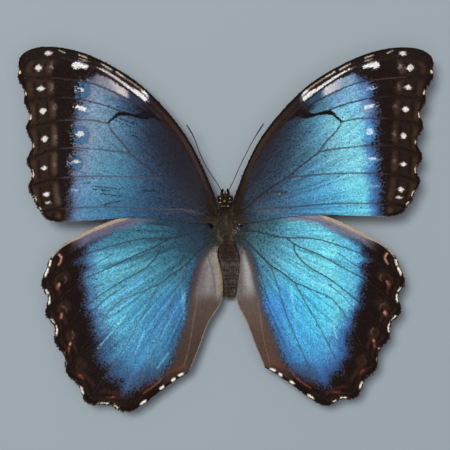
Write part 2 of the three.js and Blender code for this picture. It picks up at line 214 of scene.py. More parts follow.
def left_hindwing_plan(x, y):
    """The left hindwing before mirroring: longer, its outer half further out, its fold nearer the body."""
    shift = -0.5 + (2.1 + 0.9 * fade(24, 34, -y)) * fade(26, 38, x)
    along = hump((y + 13) / 8)
    near_body = np.exp(-np.maximum(x - 3.3, 0) / 4)
    return x + shift - 2.2 * along * near_body, y * 1.035


def arch(x):
    """Height of both wings over the floor by reach: a steady rise and half a sine wave."""
    reach = np.abs(x) - FOREWING_COSTA[0][0]
    return WING_ROOT_Z + DIHEDRAL * reach + WING_BOW * np.sin(np.pi * reach / WING_REACH)


def forewing_height(x, y):
    """The arch, lifted over the hindwing, its leading edge a little higher."""
    return arch(x) + FOREWING_LIFT + FOREWING_PITCH * (y - HINGE_Y)


def hindwing_height(x, y):
    """The arch, its hind edge a little lower, its inner fold rising over the abdomen."""
    beside_body = hump(x / FOLD_LIFT_WIDTH) * fade(2, 8, -y)
    return arch(x) + HINDWING_PITCH * (y - HINGE_Y) + FOLD_LIFT * beside_body


class Wing:
    """One wing's middle surface as a function of u (root to tip) and v (front to back edge).

    The plan blends four edges: each point adds the front and back edge in proportion to v,
    the root and outer edge in proportion to u, and takes the four corners off again."""

    def __init__(self, kind, side):
        fore = kind == "forewing"
        self.kind, self.side, self.fore = kind, side, fore
        self.node = f"{kind}_{'right' if side > 0 else 'left'}"
        self.root = np.array(FOREWING_ROOT if fore else HINDWING_ROOT)
        self.height = forewing_height if fore else hindwing_height
        self.s = np.linspace(0, 1, EDGE_STEPS)
        self.front = even_curve(FOREWING_COSTA if fore else HINDWING_COSTA, self.s)
        self.back = even_curve(FOREWING_INNER if fore else HINDWING_INNER, self.s)
        self.outer = curve(FOREWING_MARGIN if fore else HINDWING_MARGIN, self.s)
        self.tip = 1 - FRINGE / WING_RUN

    def plan(self, u, v):
        """Right-wing plan coordinates of (u, v); markings are given in these."""
        f, b, o = (np.stack([np.interp(t, self.s, line[:, k]) for k in (0, 1)], -1)
                   for t, line in ((u, self.front), (u, self.back), (v, self.outer)))
        u, v = u[..., None], v[..., None]
        r0, r1, o0, o1 = self.front[0], self.back[0], self.outer[0], self.outer[-1]
        edges = (1 - v) * f + v * b + (1 - u) * ((1 - v) * r0 + v * r1) + u * o
        corners = (1 - u) * ((1 - v) * r0 + v * r1) + u * ((1 - v) * o0 + v * o1)
        out = edges - corners
        return out[..., 0], out[..., 1]

    def drawn(self, x, y):
        """The listed y of the marking at (x, y): inside a forewing's border the markings stand
        0.2 mm further back than they are listed, in a hindwing's side border 0.22 mm further forward."""
        return y + 0.2 * fade(47, 42, x) if self.fore else y - 0.22 * fade(34, 38, x)

    def relief(self, x, y):
        """Shallow pleats that fan out from the root between the veins, at most 0.09 mm high."""
        dx, dy = x - self.root[0], y - self.root[1]
        angle, reach = np.arctan2(dy, dx), np.hypot(dx, dy)
        wave = grain(angle * 22, reach / 26, 5 + self.fore) + 0.5 * grain(angle * 47, reach / 15, 9)
        return 0.06 * wave * fade(8, 26, reach)

    def spot(self, x, y):
        """The place in space, in millimetres, of right-wing plan coordinates."""
        if self.side < 0:
            lx, ly = (left_forewing_plan if self.fore else left_hindwing_plan)(x, y)
        else:
            lx, ly = right_forewing_plan(x, y) if self.fore else (x, y)
        z = self.height(lx, ly) + self.relief(x, y)
        return np.stack([self.side * lx, ly, z], -1) + FRAME_SHIFT

    def at(self, u, v):
        """Place, outward direction (root to tip), upward normal and plan of each (u, v)."""
        x, y = self.plan(u, v)
        here = self.spot(x, y)
        along = unit(self.spot(*self.plan(u + STEP, v)) - self.spot(*self.plan(u - STEP, v)))
        behind = self.spot(*self.plan(u, v + STEP)) - self.spot(*self.plan(u, v - STEP))
        normal = unit(np.cross(behind, along))
        normal *= np.sign(normal[..., 2:])
        return here, along, normal, x, y

    def outward(self, v):
        """The plan direction, one long, in which the outer margin's hairs point."""
        x0, y0 = self.plan(np.full(v.shape, self.tip - 0.02), v)
        x1, y1 = self.plan(np.full(v.shape, self.tip), v)
        run = np.hypot(x1 - x0, y1 - y0)
        return (x1 - x0) / run, (y1 - y0) / run


WINGS = [Wing(kind, side) for kind in ("forewing", "hindwing") for side in (1, -1)]


# ---------------- markings

# Veins: places from the root outwards, and the tube's width at each end
VEINS = {
    "forewing": {
        "cubitus": ([(3.7, 4.4), (8, 8.2), (12, 11.4), (16.9, 14.5), (20, 17.1), (25.8, 21.6), (28, 24.5),
            (31, 27.7), (32.4, 30)], 0.55, 0.3),
        "cubital_2": ([(16.9, 14.5), (20, 14.8), (30, 15.6), (42, 15.7), (48, 15), (52.4, 13.9)],
            0.3, 0.24),
        "cubital_1": ([(25.8, 21.6), (30, 22.35), (36, 23.1), (42, 23.6), (48, 22.9), (53, 21.2)],
            0.3, 0.24),
        "medial_3": ([(32.4, 30), (36, 30.8), (41.8, 31.1), (48, 30.6), (53.6, 29.4)], 0.3, 0.24),
        "medial_2": ([(28.2, 33), (32, 34.5), (36, 35.65), (42, 36.9), (48, 37), (54.4, 36.4)], 0.3, 0.24),
        "medial_1": ([(21.5, 33.5), (26, 36.1), (30, 38.1), (36, 40.6), (40.8, 41.7), (50, 42.4),
            (56, 42.6)], 0.34, 0.24),
        "radius": ([(17.5, 31.2), (20, 33.6), (24, 37.1), (28, 40.1), (32, 42.9), (38, 45.9), (46, 47.7),
            (55.4, 47.6)], 0.42, 0.26),
        "subcosta": ([(3.2, 9), (7.2, 18.6), (12, 26.4), (18, 33.6), (24, 39.2), (30, 43.2), (36, 46.6)],
            0.42, 0.26),
        "anal": ([(3.2, 3.2), (6, 4.7), (10, 5.8), (18, 6.2), (26, 7), (34, 7.4), (43, 7.3), (50.2, 6.6)],
            0.36, 0.24),
    },
    "hindwing": {
        "radial": ([(3.2, -0.2), (8, -0.5), (12, -1.5), (16.7, -2.4), (20, -2.3), (26, -2.9), (32, -4.7),
            (39.7, -8), (48, -13.4)], 0.38, 0.22),
        "medial_1": ([(16.9, -2.6), (20, -4.7), (26, -7.1), (32, -10.4), (39.5, -14.7), (47, -21)],
            0.28, 0.2),
        "medial_2": ([(18.8, -4.3), (18.9, -5.75), (22, -9.7), (28.5, -13.65), (34, -17.8), (38.7, -22.1),
            (44.2, -28.8)], 0.28, 0.2),
        "medial_3": ([(26, -17.7), (29.1, -19), (32, -22.2), (34.4, -26), (37.7, -32.3), (40.8, -37.6)],
            0.26, 0.2),
        "cubitus": ([(3, -1.5), (6, -3.6), (12.2, -9.8), (16, -12.3), (19.1, -14.8), (22, -16),
            (26, -17.7)], 0.5, 0.26),
        "cubital_1": ([(19.1, -14.8), (22, -20.2), (26, -27.2), (30, -34.9), (33.6, -41.8), (35.6, -45.6)],
            0.28, 0.2),
        "cubital_2": ([(12.2, -9.9), (14, -14.6), (16.8, -23.9), (20.4, -32.3), (24.9, -42.2),
            (27.5, -47.6)], 0.3, 0.2),
        "anal": ([(4.2, -5), (7.4, -12.5), (9.1, -22.9), (10.9, -32.3), (13.2, -38.4)], 0.24, 0.18),
        "subcosta": ([(3.4, 1.2), (10, 3.5), (20, 3.4), (28, 1.6), (36, -1.6), (43, -5.4), (46.8, -7.9)],
            0.3, 0.2),
    },
}
BRANCHES = {"cubital_1", "cubital_2", "medial_3", "anal"}  # paler than the stems, above all on the left

# The blue field's outlines, inside which the scales are blue
FOREWING_FIELD = [
    (2, 0), (2, 7), (5.05, 11.3), (7, 16.7), (10, 22), (14, 26.9), (18.7, 31.8), (21.5, 35.2),
    (26, 39.4), (31, 42.6), (35.5, 44.6), (38, 43.2), (40.5, 42.2), (41.6, 40), (41.8, 38), (41.2, 36.4),
    (42.7, 34), (42.8, 30.8), (43, 27), (42.2, 23.6), (43.6, 20), (43.4, 17.5), (43, 16), (44, 12.5),
    (43.8, 8.5), (43.6, 7.4), (44, 6), (43.8, 3), (43, 0),
]
HINDWING_FIELD = [
    (2, -2), (2, 7), (24, 7), (27, 3.2), (30, 1.6), (33, -0.4), (35.6, -2.4), (38, -4), (38.7, -6.5),
    (41.1, -9.3), (38.5, -10.4), (39.6, -14.2), (38.7, -16.4), (38.2, -18), (38.4, -21.75),
    (36.8, -23.9), (36.4, -27.8), (35.0, -30.8), (35.2, -35.5), (33.1, -38.3), (32.8, -41.4),
    (30.6, -41.4), (30.0, -44.2), (28.6, -45.6), (26.0, -44.6), (24.2, -43.9), (21.6, -42.6),
    (17.4, -40.6), (15.1, -36.9), (13.0, -31.6), (10.9, -26), (9.7, -22.3), (8.4, -15.6), (7.2, -10.5),
    (5.2, -5.5), (3.6, -3),
]


class Coat:
    """Colours at a set of places, laid on one over the other.

    x, y are plan coordinates; rgb holds sRGB parts and blue the share of glossy blue scales."""

    def __init__(self, wing, x, y):
        y = wing.drawn(x, y)
        self.x, self.y, self.wing, self.left = x, y, wing, wing.side < 0
        dx, dy = x - wing.root[0], y - wing.root[1]
        self.reach, self.angle = np.hypot(dx, dy), np.arctan2(dy, dx)
        seed = 3 * wing.side + 11 * wing.fore + 40
        self.rgb = np.zeros((*x.shape, 3))
        self.blue = np.zeros(x.shape)
        # dust: each scale's own chance; streak: ragged edges that point away from the root
        self.dust = rng.uniform(-1, 1, x.shape)
        self.chance = rng.uniform(0, 1, x.shape)
        self.streak = 0.6 * grain(self.angle * 95, self.reach / 1.5, seed)
        self.streak = self.streak + 0.4 * grain(self.angle * 210, self.reach / 0.8, seed + 1)
        self.cloud = grain(x / 3.1, y / 3.1, seed + 3)
        # pleat: stripes of noise fanning from the root; added to the blue's level they are painted light and
        # shade along the pleats, elsewhere they only make edges wavy
        self.pleat = grain(self.angle * 26, self.reach / 15, seed + 4)
        self.pleat = self.pleat + 0.6 * grain(self.angle * 58, self.reach / 9, seed + 5)
        self.veins = {name: to_line(x, y, line, 2.6) for name, (line, _, _) in VEINS[wing.kind].items()}
        self.vein_gap = np.minimum.reduce([gap for gap, _ in self.veins.values()])

    def either(self, right, left):
        """The first value on a right wing, the second on a left one."""
        return left if self.left else right

    def lay(self, code, amount, blue=None):
        """Mixes a colour in by amount (0 to 1); blue says how glossy blue that colour is."""
        amount = np.clip(amount, 0, 1)
        self.rgb += (rgb(code) - self.rgb) * amount[..., None]
        if blue is not None:
            self.blue += (blue - self.blue) * amount

    def ramp(self, stops, level):
        """Colours that run through the stops, evenly spaced, as level goes from 0 to 1."""
        codes = np.array([rgb(code) for code in stops])
        marks = np.linspace(0, 1, len(stops))
        return np.stack([np.interp(level, marks, codes[:, k]) for k in range(3)], -1)

    def line(self, points, width, code, amount=1.0, end_width=None, soft=0.12, blue=None):
        """A line of given full width, tapering to end_width."""
        last = width if end_width is None else end_width
        gap, t = to_line(self.x, self.y, points, width + soft + 0.5)
        half = (width + (last - width) * t) / 2
        self.lay(code, amount * fade(half + soft, half - soft, gap), blue)

    def mark(self, x, y, width, height, code, turn=0.0, amount=1.0, ragged=0.2, soft=0.16, shape=2.0):
        """A spot: inside |a|^shape + |b|^shape = 1 on its own axes, with a ragged, soft edge."""
        c, s = np.cos(np.radians(turn)), np.sin(np.radians(turn))
        dx, dy = self.x - x, self.y - y
        a, b = np.abs(dx * c + dy * s) / (width / 2), np.abs(dy * c - dx * s) / (height / 2)
        edge = 1 - (a**shape + b**shape) ** (1 / shape)
        edge = edge * min(width, height) / 2 + ragged * (0.6 * self.streak + 0.6 * self.dust)
        self.lay(code, amount * fade(-soft, soft, edge))

    def area(self, points, code, amount=1.0, ragged=0.25, soft=0.2, blue=None):
        """A patch inside a closed outline, with a ragged, soft edge."""
        edge = inside(self.x, self.y, points) + ragged * (0.6 * self.streak + 0.6 * self.dust)
        self.lay(code, amount * fade(-soft, soft, edge), blue)

    def ring(self, x, y, radius, width, code, amount):
        """A soft circle line round (x, y)."""
        gap = np.abs(np.hypot(self.x - x, self.y - y) - radius)
        self.lay(code, amount * fade(width / 2 + 0.3, width / 2 - 0.3, gap))

    def strew(self, code, share):
        """Single scales of another colour, as many as share (0 to 1) says."""
        self.lay(code, 0.75 * (self.chance < share))

    def vein_lines(self, stem, branch, amount, width=0.75, fading=0.35):
        """The dark scales along the veins, stems broader and darker than branches."""
        for name, (gap, t) in self.veins.items():
            _, first, last = VEINS[self.wing.kind][name]
            half = width * (first + (last - first) * t) / 2 + 0.05
            code = branch if name in BRANCHES else stem
            self.lay(code, amount * (1 - fading * t) * fade(half + 0.16, half - 0.06, gap), 0.1)

    def speckle(self, depth):
        """Every scale a little lighter or darker than its neighbours, blue ones the most."""
        share = depth * (0.4 + 0.6 * np.clip(self.blue, 0, 1))
        self.rgb *= (1 + share * (0.75 * self.dust + 0.35 * self.streak))[..., None]


# The left wing's tones (side -1), here and in the hindwing's table, are darker and greyer than the right's:
# painted shade, as the left wings catch less of the light.
FOREWING_TONES = {  # hind part, then front part; from the dark root to the bright outer field
    1: (("#2c3038", "#364a5e", "#426f92", "#4689b4", "#54abd2", "#6ccbe2"),
        ("#282630", "#33465a", "#416a82", "#5590ad", "#70b0c8", "#7ccadc")),
    -1: (("#2c2e38", "#2f3d52", "#30506f", "#3b6a8c", "#4f80a0", "#5d8bac"),
         ("#262430", "#2b374b", "#37506d", "#4e7390", "#62859f", "#7390a8")),
}
HINDWING_TONES = {
    1: ("#37464c", "#416e7c", "#4a8ba2", "#57a8c3", "#63bfd6", "#72d6e6"),
    -1: ("#253040", "#2d4a5e", "#386a7e", "#427f97", "#4f95ac", "#5aa8bf"),
}
SUBMARGINAL_SPOTS = [  # x, y, width, height, corner shape
    (49.2, 48.9, 2.2, 1.4, 1.6), (51.8, 45.0, 2.2, 2.2, 1.15), (51.1, 39.5, 2.4, 1.6, 1.2),
    (50.4, 33.5, 2.2, 2.0, 1.15), (49.8, 26.1, 1.9, 2.0, 1.3), (49.8, 18.2, 1.9, 1.4, 1.2),
    (49.1, 11.1, 2.0, 1.6, 1.5), (48.5, 8.9, 1.9, 0.7, 1.5),
]
FOREWING_NOTCHES = [  # x, y, width, height, turn of the cream marks in the outer margin's notches
    (55.9, 49.2, 0.9, 0.6, -35), (57.2, 44.3, 0.9, 0.8, 0), (55.6, 38.6, 0.7, 1.1, -15),
    (54.1, 32.3, 0.8, 1.8, -20), (53.3, 24.8, 0.7, 1.7, -25), (53.0, 17.0, 0.7, 2.0, -12),
    (52.2, 10.3, 0.9, 1.7, -25), (50.7, 7.3, 0.9, 0.9, -40),
]


CELL_BAR = [  # the black bar that closes the cell
    (19.0, 35.6), (21, 34.7), (22, 33.4), (23, 32.5), (24.5, 32.2), (26, 32.6), (28, 33.2), (29.2, 33.15),
    (30.2, 32.5), (31, 31.5), (32.6, 30.2), (32.1, 29.9), (30.5, 31.1), (29.5, 31.8), (28.4, 32.1),
    (27, 32.0), (25, 31.6), (23, 31.0), (21.5, 30.9), (19.5, 31.4), (17, 30),
]
COSTA_PATCH = [  # the white patch at the front edge
    (20.8, 36.8), (21.6, 35.7), (22.4, 36.2), (23.8, 37.3), (26.6, 39.4), (29.4, 41.3), (31.5, 42.7),
    (34.0, 44.3), (35.8, 45.3), (34.0, 44.75), (31.4, 43.3), (30.6, 43.2), (28, 41.6), (25.9, 39.95),
    (23.8, 38.7), (23.2, 38.5), (22.5, 39.4), (21.3, 38.2),
]
APEX_PATCH = [  # the white patch towards the tip
    (37.8, 45.5), (39.0, 46.0), (40.0, 46.8), (41.2, 47.0), (42.1, 46.4), (42.5, 45.5), (41.5, 44.6),
    (40.6, 45.1), (39.2, 45.0), (38.0, 44.9),
]
FIELD_DASH = [  # the white dash in the blue
    (38.3, 34.3), (38.7, 33.3), (40.2, 33.7), (41.6, 34.3), (43.0, 34.3), (41.4, 35.0), (39.4, 34.8),
]
# The brown band's inner edge along the front: x at each y
BAND_Y = (0, 6, 11.3, 16.7, 22, 26.9, 31.8, 35, 37.0, 40)
BAND_X = (3.0, 3.5, 5.05, 7, 10, 14, 18.7, 20.2, 20.7, 20.7)
LEFT_SCRATCHES = (  # fine dark scratches, on the left forewing only
    [(38.9, 13.9), (36.8, 14.1)], [(36.4, 13.1), (28.5, 12)], [(34, 11), (28, 10.1)],
    [(33.2, 8), (28.3, 8.9)], [(22.3, 11.4), (18.5, 11.3)], [(31, 31.1), (25.5, 28.8)],
    [(29.5, 31.4), (24.5, 29.6)], [(26, 27.5), (22.7, 24.9)], [(29.8, 34.5), (24.8, 33.1)],
    [(36.5, 12.3), (31.5, 11.8)],
)


def forewing_upper(coat):
    """Blue field darkening to the front and root, black border with white spots and brown windows,
    a black bar across the cell, and a white patch between the front veins."""
    x, y, left, either = coat.x, coat.y, coat.left, coat.either
    lay, mark, line, area = coat.lay, coat.mark, coat.line, coat.area
    dust, cloud, streak, pleat = coat.dust, coat.cloud, coat.streak, coat.pleat
    dark_end = np.interp(y, (2, 5, 14, 22, 30, 34, 38), (-2, 0, 8, 12, 16, 20, 22))
    spread = np.interp(y, (3, 14, 22, 30, 35), (42, 26, 22, 15, 13))
    level = (x - dark_end + 0.6 * cloud) / spread + 0.03 * pleat
    # painted shade: the left wing's blue, here and in several paired blues below, is drawn darker, as it
    # catches less of the light
    if left:
        level = level * 0.88 - 0.05
    hind, front = (coat.ramp(stops, level) for stops in FOREWING_TONES[coat.wing.side])
    coat.rgb = hind + (front - hind) * fade(8, 22, y)[..., None]
    coat.blue[:] = fade(0.0, 0.4, level)
    coat.strew("#1f222c", 0.22 * fade(0.6, 0.05, level) + 0.006)

    # paler, greyer scales between the radius and the first medial vein
    above_m1 = y - np.interp(x, (21.5, 26, 30, 36, 40.8), (33.5, 36.1, 38.1, 40.6, 41.7))
    grey = fade(0, 0.5, above_m1) * fade(25.6, 27.6, x + 0.3 * streak)
    pale = grey * fade(33, 28.5, x - 0.3 * above_m1)
    lay(either("#8ea6be", "#8d8791"), 0.9 * grey, 0.25)
    lay(either("#c9c6cb", "#c6bfc2"), pale * fade(-1.2, 0.4, above_m1 - 0.2 + 0.7 * dust), 0.1)
    root_side = fade(28 - 1.2 * left, 26 - 0.8 * left, x)
    lay(either("#31526e", "#2f3a56"), 0.85 * fade(0, 0.4, above_m1) * root_side, 0.3)
    if not left:
        periwinkle = fade(27, 31, x) * fade(41, 37, x) * fade(0, -0.6, above_m1) * fade(-6.5, -3, above_m1)
        lay("#7b9ccc", 0.55 * periwinkle, 0.8)
        lay("#6a9cd2", 0.45 * hump((x - 36.5) / 3, (y - 32.8) / 1.8), 0.9)
        lay("#64788c", 0.4 * hump((x - 12) / 4.5, (y - 5.4) / 1.8), 1)
    else:
        lay("#a29fac", 0.6 * hump((x - 31) / 2.6, (above_m1 + 0.6) / 0.8), 0.2)
        shade = fade(15, 6, x - 0.4 * (y - 8)) * fade(4, 8, y)
        lay("#221f21", 0.4 * shade, 0)
        lay("#4a82ac", 0.3 * fade(23, 29, x) * fade(9, 4, y), 1)
        teal = hump((x - 30) / 7, (y - 17 - 0.4 * (x - 30)) / 6)
        lay("#4f93ac", 0.5 * teal, 1)
        mauve = hump((x - 37) / 5, (y - 37.5) / 4)
        lay("#7d8296", 0.5 * mauve)

    # outer edge of the blue: deeper and more violet, then dusted with black scales
    edge = inside(x, y, FOREWING_FIELD) - (1.0 if left else 0.5 + 0.5 * fade(40, 43, y))
    outer = fade(34, 38, x)
    violet = either("#4272b2", "#5a7096")
    lay(violet, 0.8 * outer * fade(5.0, 1.6, edge + 0.5 * cloud + 0.4 * dust), 0.8)
    if not left:
        deep = outer * fade(4.4, 2.0, edge + 0.6 * cloud) * fade(36, 30, y)
        lay("#3c68a4", 0.4 * deep * (1 - hump((y - 19) / 2.6)), 0.8)
        lay("#8f97b4", 0.4 * fade(36.5, 39, x) * hump((y - 33.4) / 2.6), 0.7)
    mauve = fade(1.4, 0.6, np.abs(above_m1 + 1.0)) * fade(36, 39, x)
    below = fade(1.0, 0.4, np.abs(y - 36.2)) * fade(33, 37, x)
    lay(either("#7d86b4", "#76748e"), outer * (0.5 * mauve + 0.35 * below), 0.6)
    lay(either("#31354a", "#332f3e"), 0.75 * outer * fade(2.4, -0.5, edge + 0.4 * cloud), 0.3)

    # the bar that closes the cell, and the dark fan it starts from
    area(CELL_BAR, "#100a0e", 1.0, 0.08, 0.14, 0)
    area([(19.6, 36.4), (22, 35.4), (24.4, 34.2), (23.2, 32.4), (20, 31)], "#1c181e", 0.75, 0.9, 0.5, 0)

    # small spots in the blue, two or three ringed on the left
    if left:
        for cx, cy, r, strength in ((39.7, 39.0, 2.6, 1.0), (39.8, 27.0, 2.6, 0.85), (41.0, 19.4, 2.2, 0.8)):
            gap = np.hypot(x - cx, y - cy)
            ripple = 0.55 + 0.45 * np.cos(2 * np.pi * (gap - r) / 0.9) + 0.5 * dust
            halo = fade(r + 2.0, r + 0.8, gap) * ripple
            lay("#8f93a8", 0.45 * strength * halo, 0.3)
            mark(cx, cy, 2 * r, 2 * r, "#3b6389", 0, 0.8 * strength, 0.12, 0.3)
            coat.ring(cx, cy, r + 0.35, 0.25, "#9c93a4", 0.5 * strength)
            coat.ring(cx, cy, r - 0.9, 0.2, "#56799f", 0.4 * strength)
    else:
        mark(39.4, 27.0, 5.2, 5.0, "#5fb4e6", 0, 0.45, 0.3, 0.9)
    white = either("#dbe4f4", "#e2dede")
    mark(40.3, 39.3, 2.6, 1.0, either("#b6c3ea", "#d2cfde"), 15, 0.9, 0.22)
    area(FIELD_DASH, white, 1.0, 0.12, 0.2)
    mark(40.0, 27.3, 2.3, 1.6, either("#bcd8f2", white), 0, 0.95, 0.2)
    mark(40.9, 19.8, 2.1, 0.9, white, 5, 0.9, 0.2)
    mark(43.0, 19.4, 2.4, 0.5, "#8f9ab0", 0, 0.6, 0.2)
    mark(41.3, 12.2, 2.6, 0.45, "#a9bdd0", 0, 0.55, 0.2)

    # border: black next to the blue, brown windows between the veins either side of the spots
    rough = 1.25 * dust + 0.4 * streak + 0.3 * cloud
    grainy = edge + rough * (0.2 + 0.8 * fade(36.5, 39, x))
    border = fade(0.3, -0.3, grainy) * fade(30, 33, x + 0.5 * y - 14)
    flecks = border * fade(-3.4, -0.3, edge) * (coat.chance > 0.88)
    lay("#1b0f0b", border, 0)
    lay(either("#3c4668", "#44455a"), 0.6 * flecks * fade(46, 44, x))
    spots = sorted((cy, cx) for cx, cy, *_ in SUBMARGINAL_SPOTS)
    out = x - np.interp(y, [p[0] for p in spots], [p[1] for p in spots])
    between = fade(0.5, 1.7, coat.vein_gap) * border
    light = either(0.85, 1.0)
    ground = fade(-3.9, -3.1, out) * fade(4.6, 3.6, out) * border * fade(0.15, 0.6, coat.vein_gap)
    lay(either("#2f2119", "#38291f"), 0.65 * ground * (1 + 0.3 * cloud), 0)
    inner_row = hump((out + 2.8) / 0.8) * between * (1 + 0.4 * cloud)
    lay("#55443b", either(0.55, 0.75) * light * inner_row, 0)
    lay("#4a3427", 0.6 * light * hump((out - 3.0) / 0.8) * between * (1 + 0.3 * cloud), 0)
    lay("#150c09", 0.6 * fade(0.5, 0.2, np.abs(out + 1.35)) * between, 0)
    lay("#150c09", 0.6 * fade(0.6, 0.2, np.abs(out - 1.6)) * between, 0)
    for cx, cy, h in ((48.2, 45.2, 2.2), (48.0, 39.6, 1.6), (47.1, 34.3, 1.8), (46.9, 26.5, 1.6),
                      (47.1, 19, 1.0)):
        mark(cx, cy, 1.0, 0.8 * h, "#9a908a", 0, 0.65 if cy > 44 else 0.4, 0.5, 0.35, 1.4)
    rim, _ = to_line(x, y, FOREWING_MARGIN, 1.6)
    lay("#120b09", 0.85 * fade(1.0, 0.6, rim), 0)

    # front edge: brown band to the root, white patch, cream dashes between black lines
    front_gap, _ = to_line(x, y, FOREWING_COSTA, 5)
    band = fade(0.6, -0.6, x - np.interp(y, BAND_Y, BAND_X) + 0.5 * dust) * (y < 39.5) * (y > 1)
    lay(either("#2a1c15", "#2a1915"), band, 0)
    lay("#4a3826", 0.6 * band * fade(0.8, 0.3, np.abs(front_gap - 1.0)) * fade(36, 24, y), 0)
    lay("#1f1410", fade(20.5, 22, x) * fade(3.0, 2.6, front_gap) * fade(33, 36, y), 0)
    area(COSTA_PATCH, "#e6e2e3", 1.0, 0.1, 0.14, 0)
    if left:
        lilac = fade(25, 31, x) * fade(34.5, 33, x) * fade(1.3, 1.7, front_gap) * fade(3.0, 2.8, front_gap)
        lay("#a79aa3", 0.6 * lilac)
    line([(30.0, 43.9), (27.7, 42.4)], 0.5, "#d2c4aa", 0.9, 0.4, 0.12, 0)
    tan = either("#a99f84", "#97896e")
    line([(27.9, 42.5), (25.2, 40.75), (22.5, 38.8)], 0.4, tan, 0.85, 0.5, 0.12, 0)
    line([(31.4, 43.7), (28.0, 41.7), (25.2, 39.85), (23.6, 38.75)], 0.55, "#140b09", 0.95, 0.3, 0.1, 0)
    line([(29.1, 42.1), (27.3, 40.9), (25.0, 39.2)], 0.35, "#38231f", 0.85, 0.2, 0.1, 0)
    line([(36.2, 45.15), (34.2, 43.95), (31.5, 42.3), (29.4, 40.9), (27.2, 39.4), (25.2, 37.95),
          (22.4, 35.7), (20.5, 34.2)], 0.34, "#130d0c", 0.95, 0.42, 0.08, 0)
    lay("#140d0b", fade(0.6, 0.4, front_gap), 0)
    for points, wide in (([(31.5, 44.45), (34.3, 46.2)], 0.6), ([(38.4, 47.8), (40.6, 48.6)], 0.45),
                         ([(44.6, 49.1), (46.1, 49.7)], 0.3)):
        line(points, wide, "#d0c1ab", 0.85, 0.3, 0.14, 0)
    line([(38.4, 46.9), (40.6, 47.6)], 0.4, "#bdb2a6", 0.8, 0.2, 0.14)
    area(APEX_PATCH, "#e6e3e3", 1.0, 0.35, 0.15, 0)
    for cx, cy, w, h, shape in SUBMARGINAL_SPOTS:
        inwards = either(0.8 if 44 < cy < 46 else 0.3, 0)
        mark(cx - inwards, cy, 0.92 * w, 0.9 * h, "#d9d3d0", 0, 1.0, 0.16, 0.24, shape)
    for cx, cy, w, h, turn in FOREWING_NOTCHES:
        mark(cx, cy, w + 0.3, h + 0.1, "#e0cda8", turn, fade(0.75, 0.5, rim), 0.05)

    stem = either("#2b2226", "#352d36")
    coat.vein_lines(stem, either("#453e48", "#574d58"), 0.85 * fade(47, 44, x))
    line([(41.4, 41.8), (50, 42.4)], 0.3, "#5e4030", either(0.75, 0.3))
    if left:
        line([(16, 5), (12, 5.2), (9, 5.2), (6.5, 4.4)], 0.25, "#6e5242", 0.55, 0.2)
        for points in LEFT_SCRATCHES:
            line(points, 0.3, "#12161d", 0.9 * (coat.chance > 0.2), 0.2, 0.12)
        mark(9, 2, 1.0, 0.6, "#c89e94", 20, 0.8)
    else:
        line([(12.4, 10.5), (16.4, 10.4)], 0.6, "#3a2a30", 0.7 * (coat.chance > 0.25), 0.8, 0.2)
        mark(14.6, 10.0, 0.8, 0.5, "#a07a70", 0, 0.7)
    lay("#33291f", 0.85 * fade(8, 4, x) * fade(2.9, 1.6, y + 0.4 * dust), 0)
    back, _ = to_line(x, y, FOREWING_INNER, 1.5)
    lay("#9a9aa2", 0.55 * fade(0.4, 0.15, back) * fade(9, 14, x), 0)


HINDWING_NOTCHES = [  # x, y, width, height, turn, in pairs at each notch of the margin
    (47.1, -9.2, 1.3, 1.8, 38), (48.2, -11.7, 1.0, 2.6, 14), (48.3, -16.9, 1.6, 1.1, 20),
    (47.6, -19.2, 0.9, 2.2, 4), (47.0, -25.0, 2.0, 0.9, 35), (45.5, -27.4, 0.8, 2.6, -12),
    (43.3, -33.3, 1.8, 0.7, 38), (42.4, -35.9, 0.6, 2.6, -8), (40.1, -41.2, 1.6, 0.6, 15),
    (37.6, -43.6, 0.7, 2.2, -18), (32.9, -47.1, 2.4, 0.6, -8), (30.5, -48.1, 1.5, 0.7, 35),
    (23.6, -46.7, 2.0, 0.7, -35), (18.5, -42.6, 1.4, 1.0, -30), (15.2, -40.4, 1.1, 1.3, 20),
    (13.1, -39.2, 1.8, 0.7, -10),
]
# Painted highlights: bright streaks where the pleats between the veins catch the light.
GLINTS = {  # bright streaks between the veins: places, width, strength
    1: (([(18, -16), (18.6, -21), (19.4, -25.5)], 0.9, 0.5), ([(30, -26), (30.8, -30.5)], 0.7, 0.5),
        ([(20, -8.4), (26, -11.4), (31.5, -14.2)], 1.2, 0.4),
        ([(24, -15), (30, -16.6), (33, -19)], 1.4, 0.4)),
    -1: (([(28.2, -23.0), (31.2, -27.6), (34.2, -32.4)], 0.45, 0.85),
         ([(23.2, -27.4), (25.8, -33.6)], 0.4, 0.7), ([(16.6, -33.4), (19.6, -37.4)], 0.6, 0.6),
         ([(21, -9), (27, -11), (33, -14)], 1.2, 0.35), ([(27, -15.5), (34, -17.5)], 1.2, 0.2),
         ([(12.6, -16.0), (12.0, -24)], 1.2, 0.35)),
}
# Painted shade: thin dark lines where the pleats' creases lie in shade.
PLEAT_SHADE_LINES = (  # thin dark creases
    [(28.5, -15.3), (32, -18.1), (36, -22.3)], [(6, -4.5), (9.4, -12), (12, -21)],
    [(31, -6.5), (38, -11.5)],
)


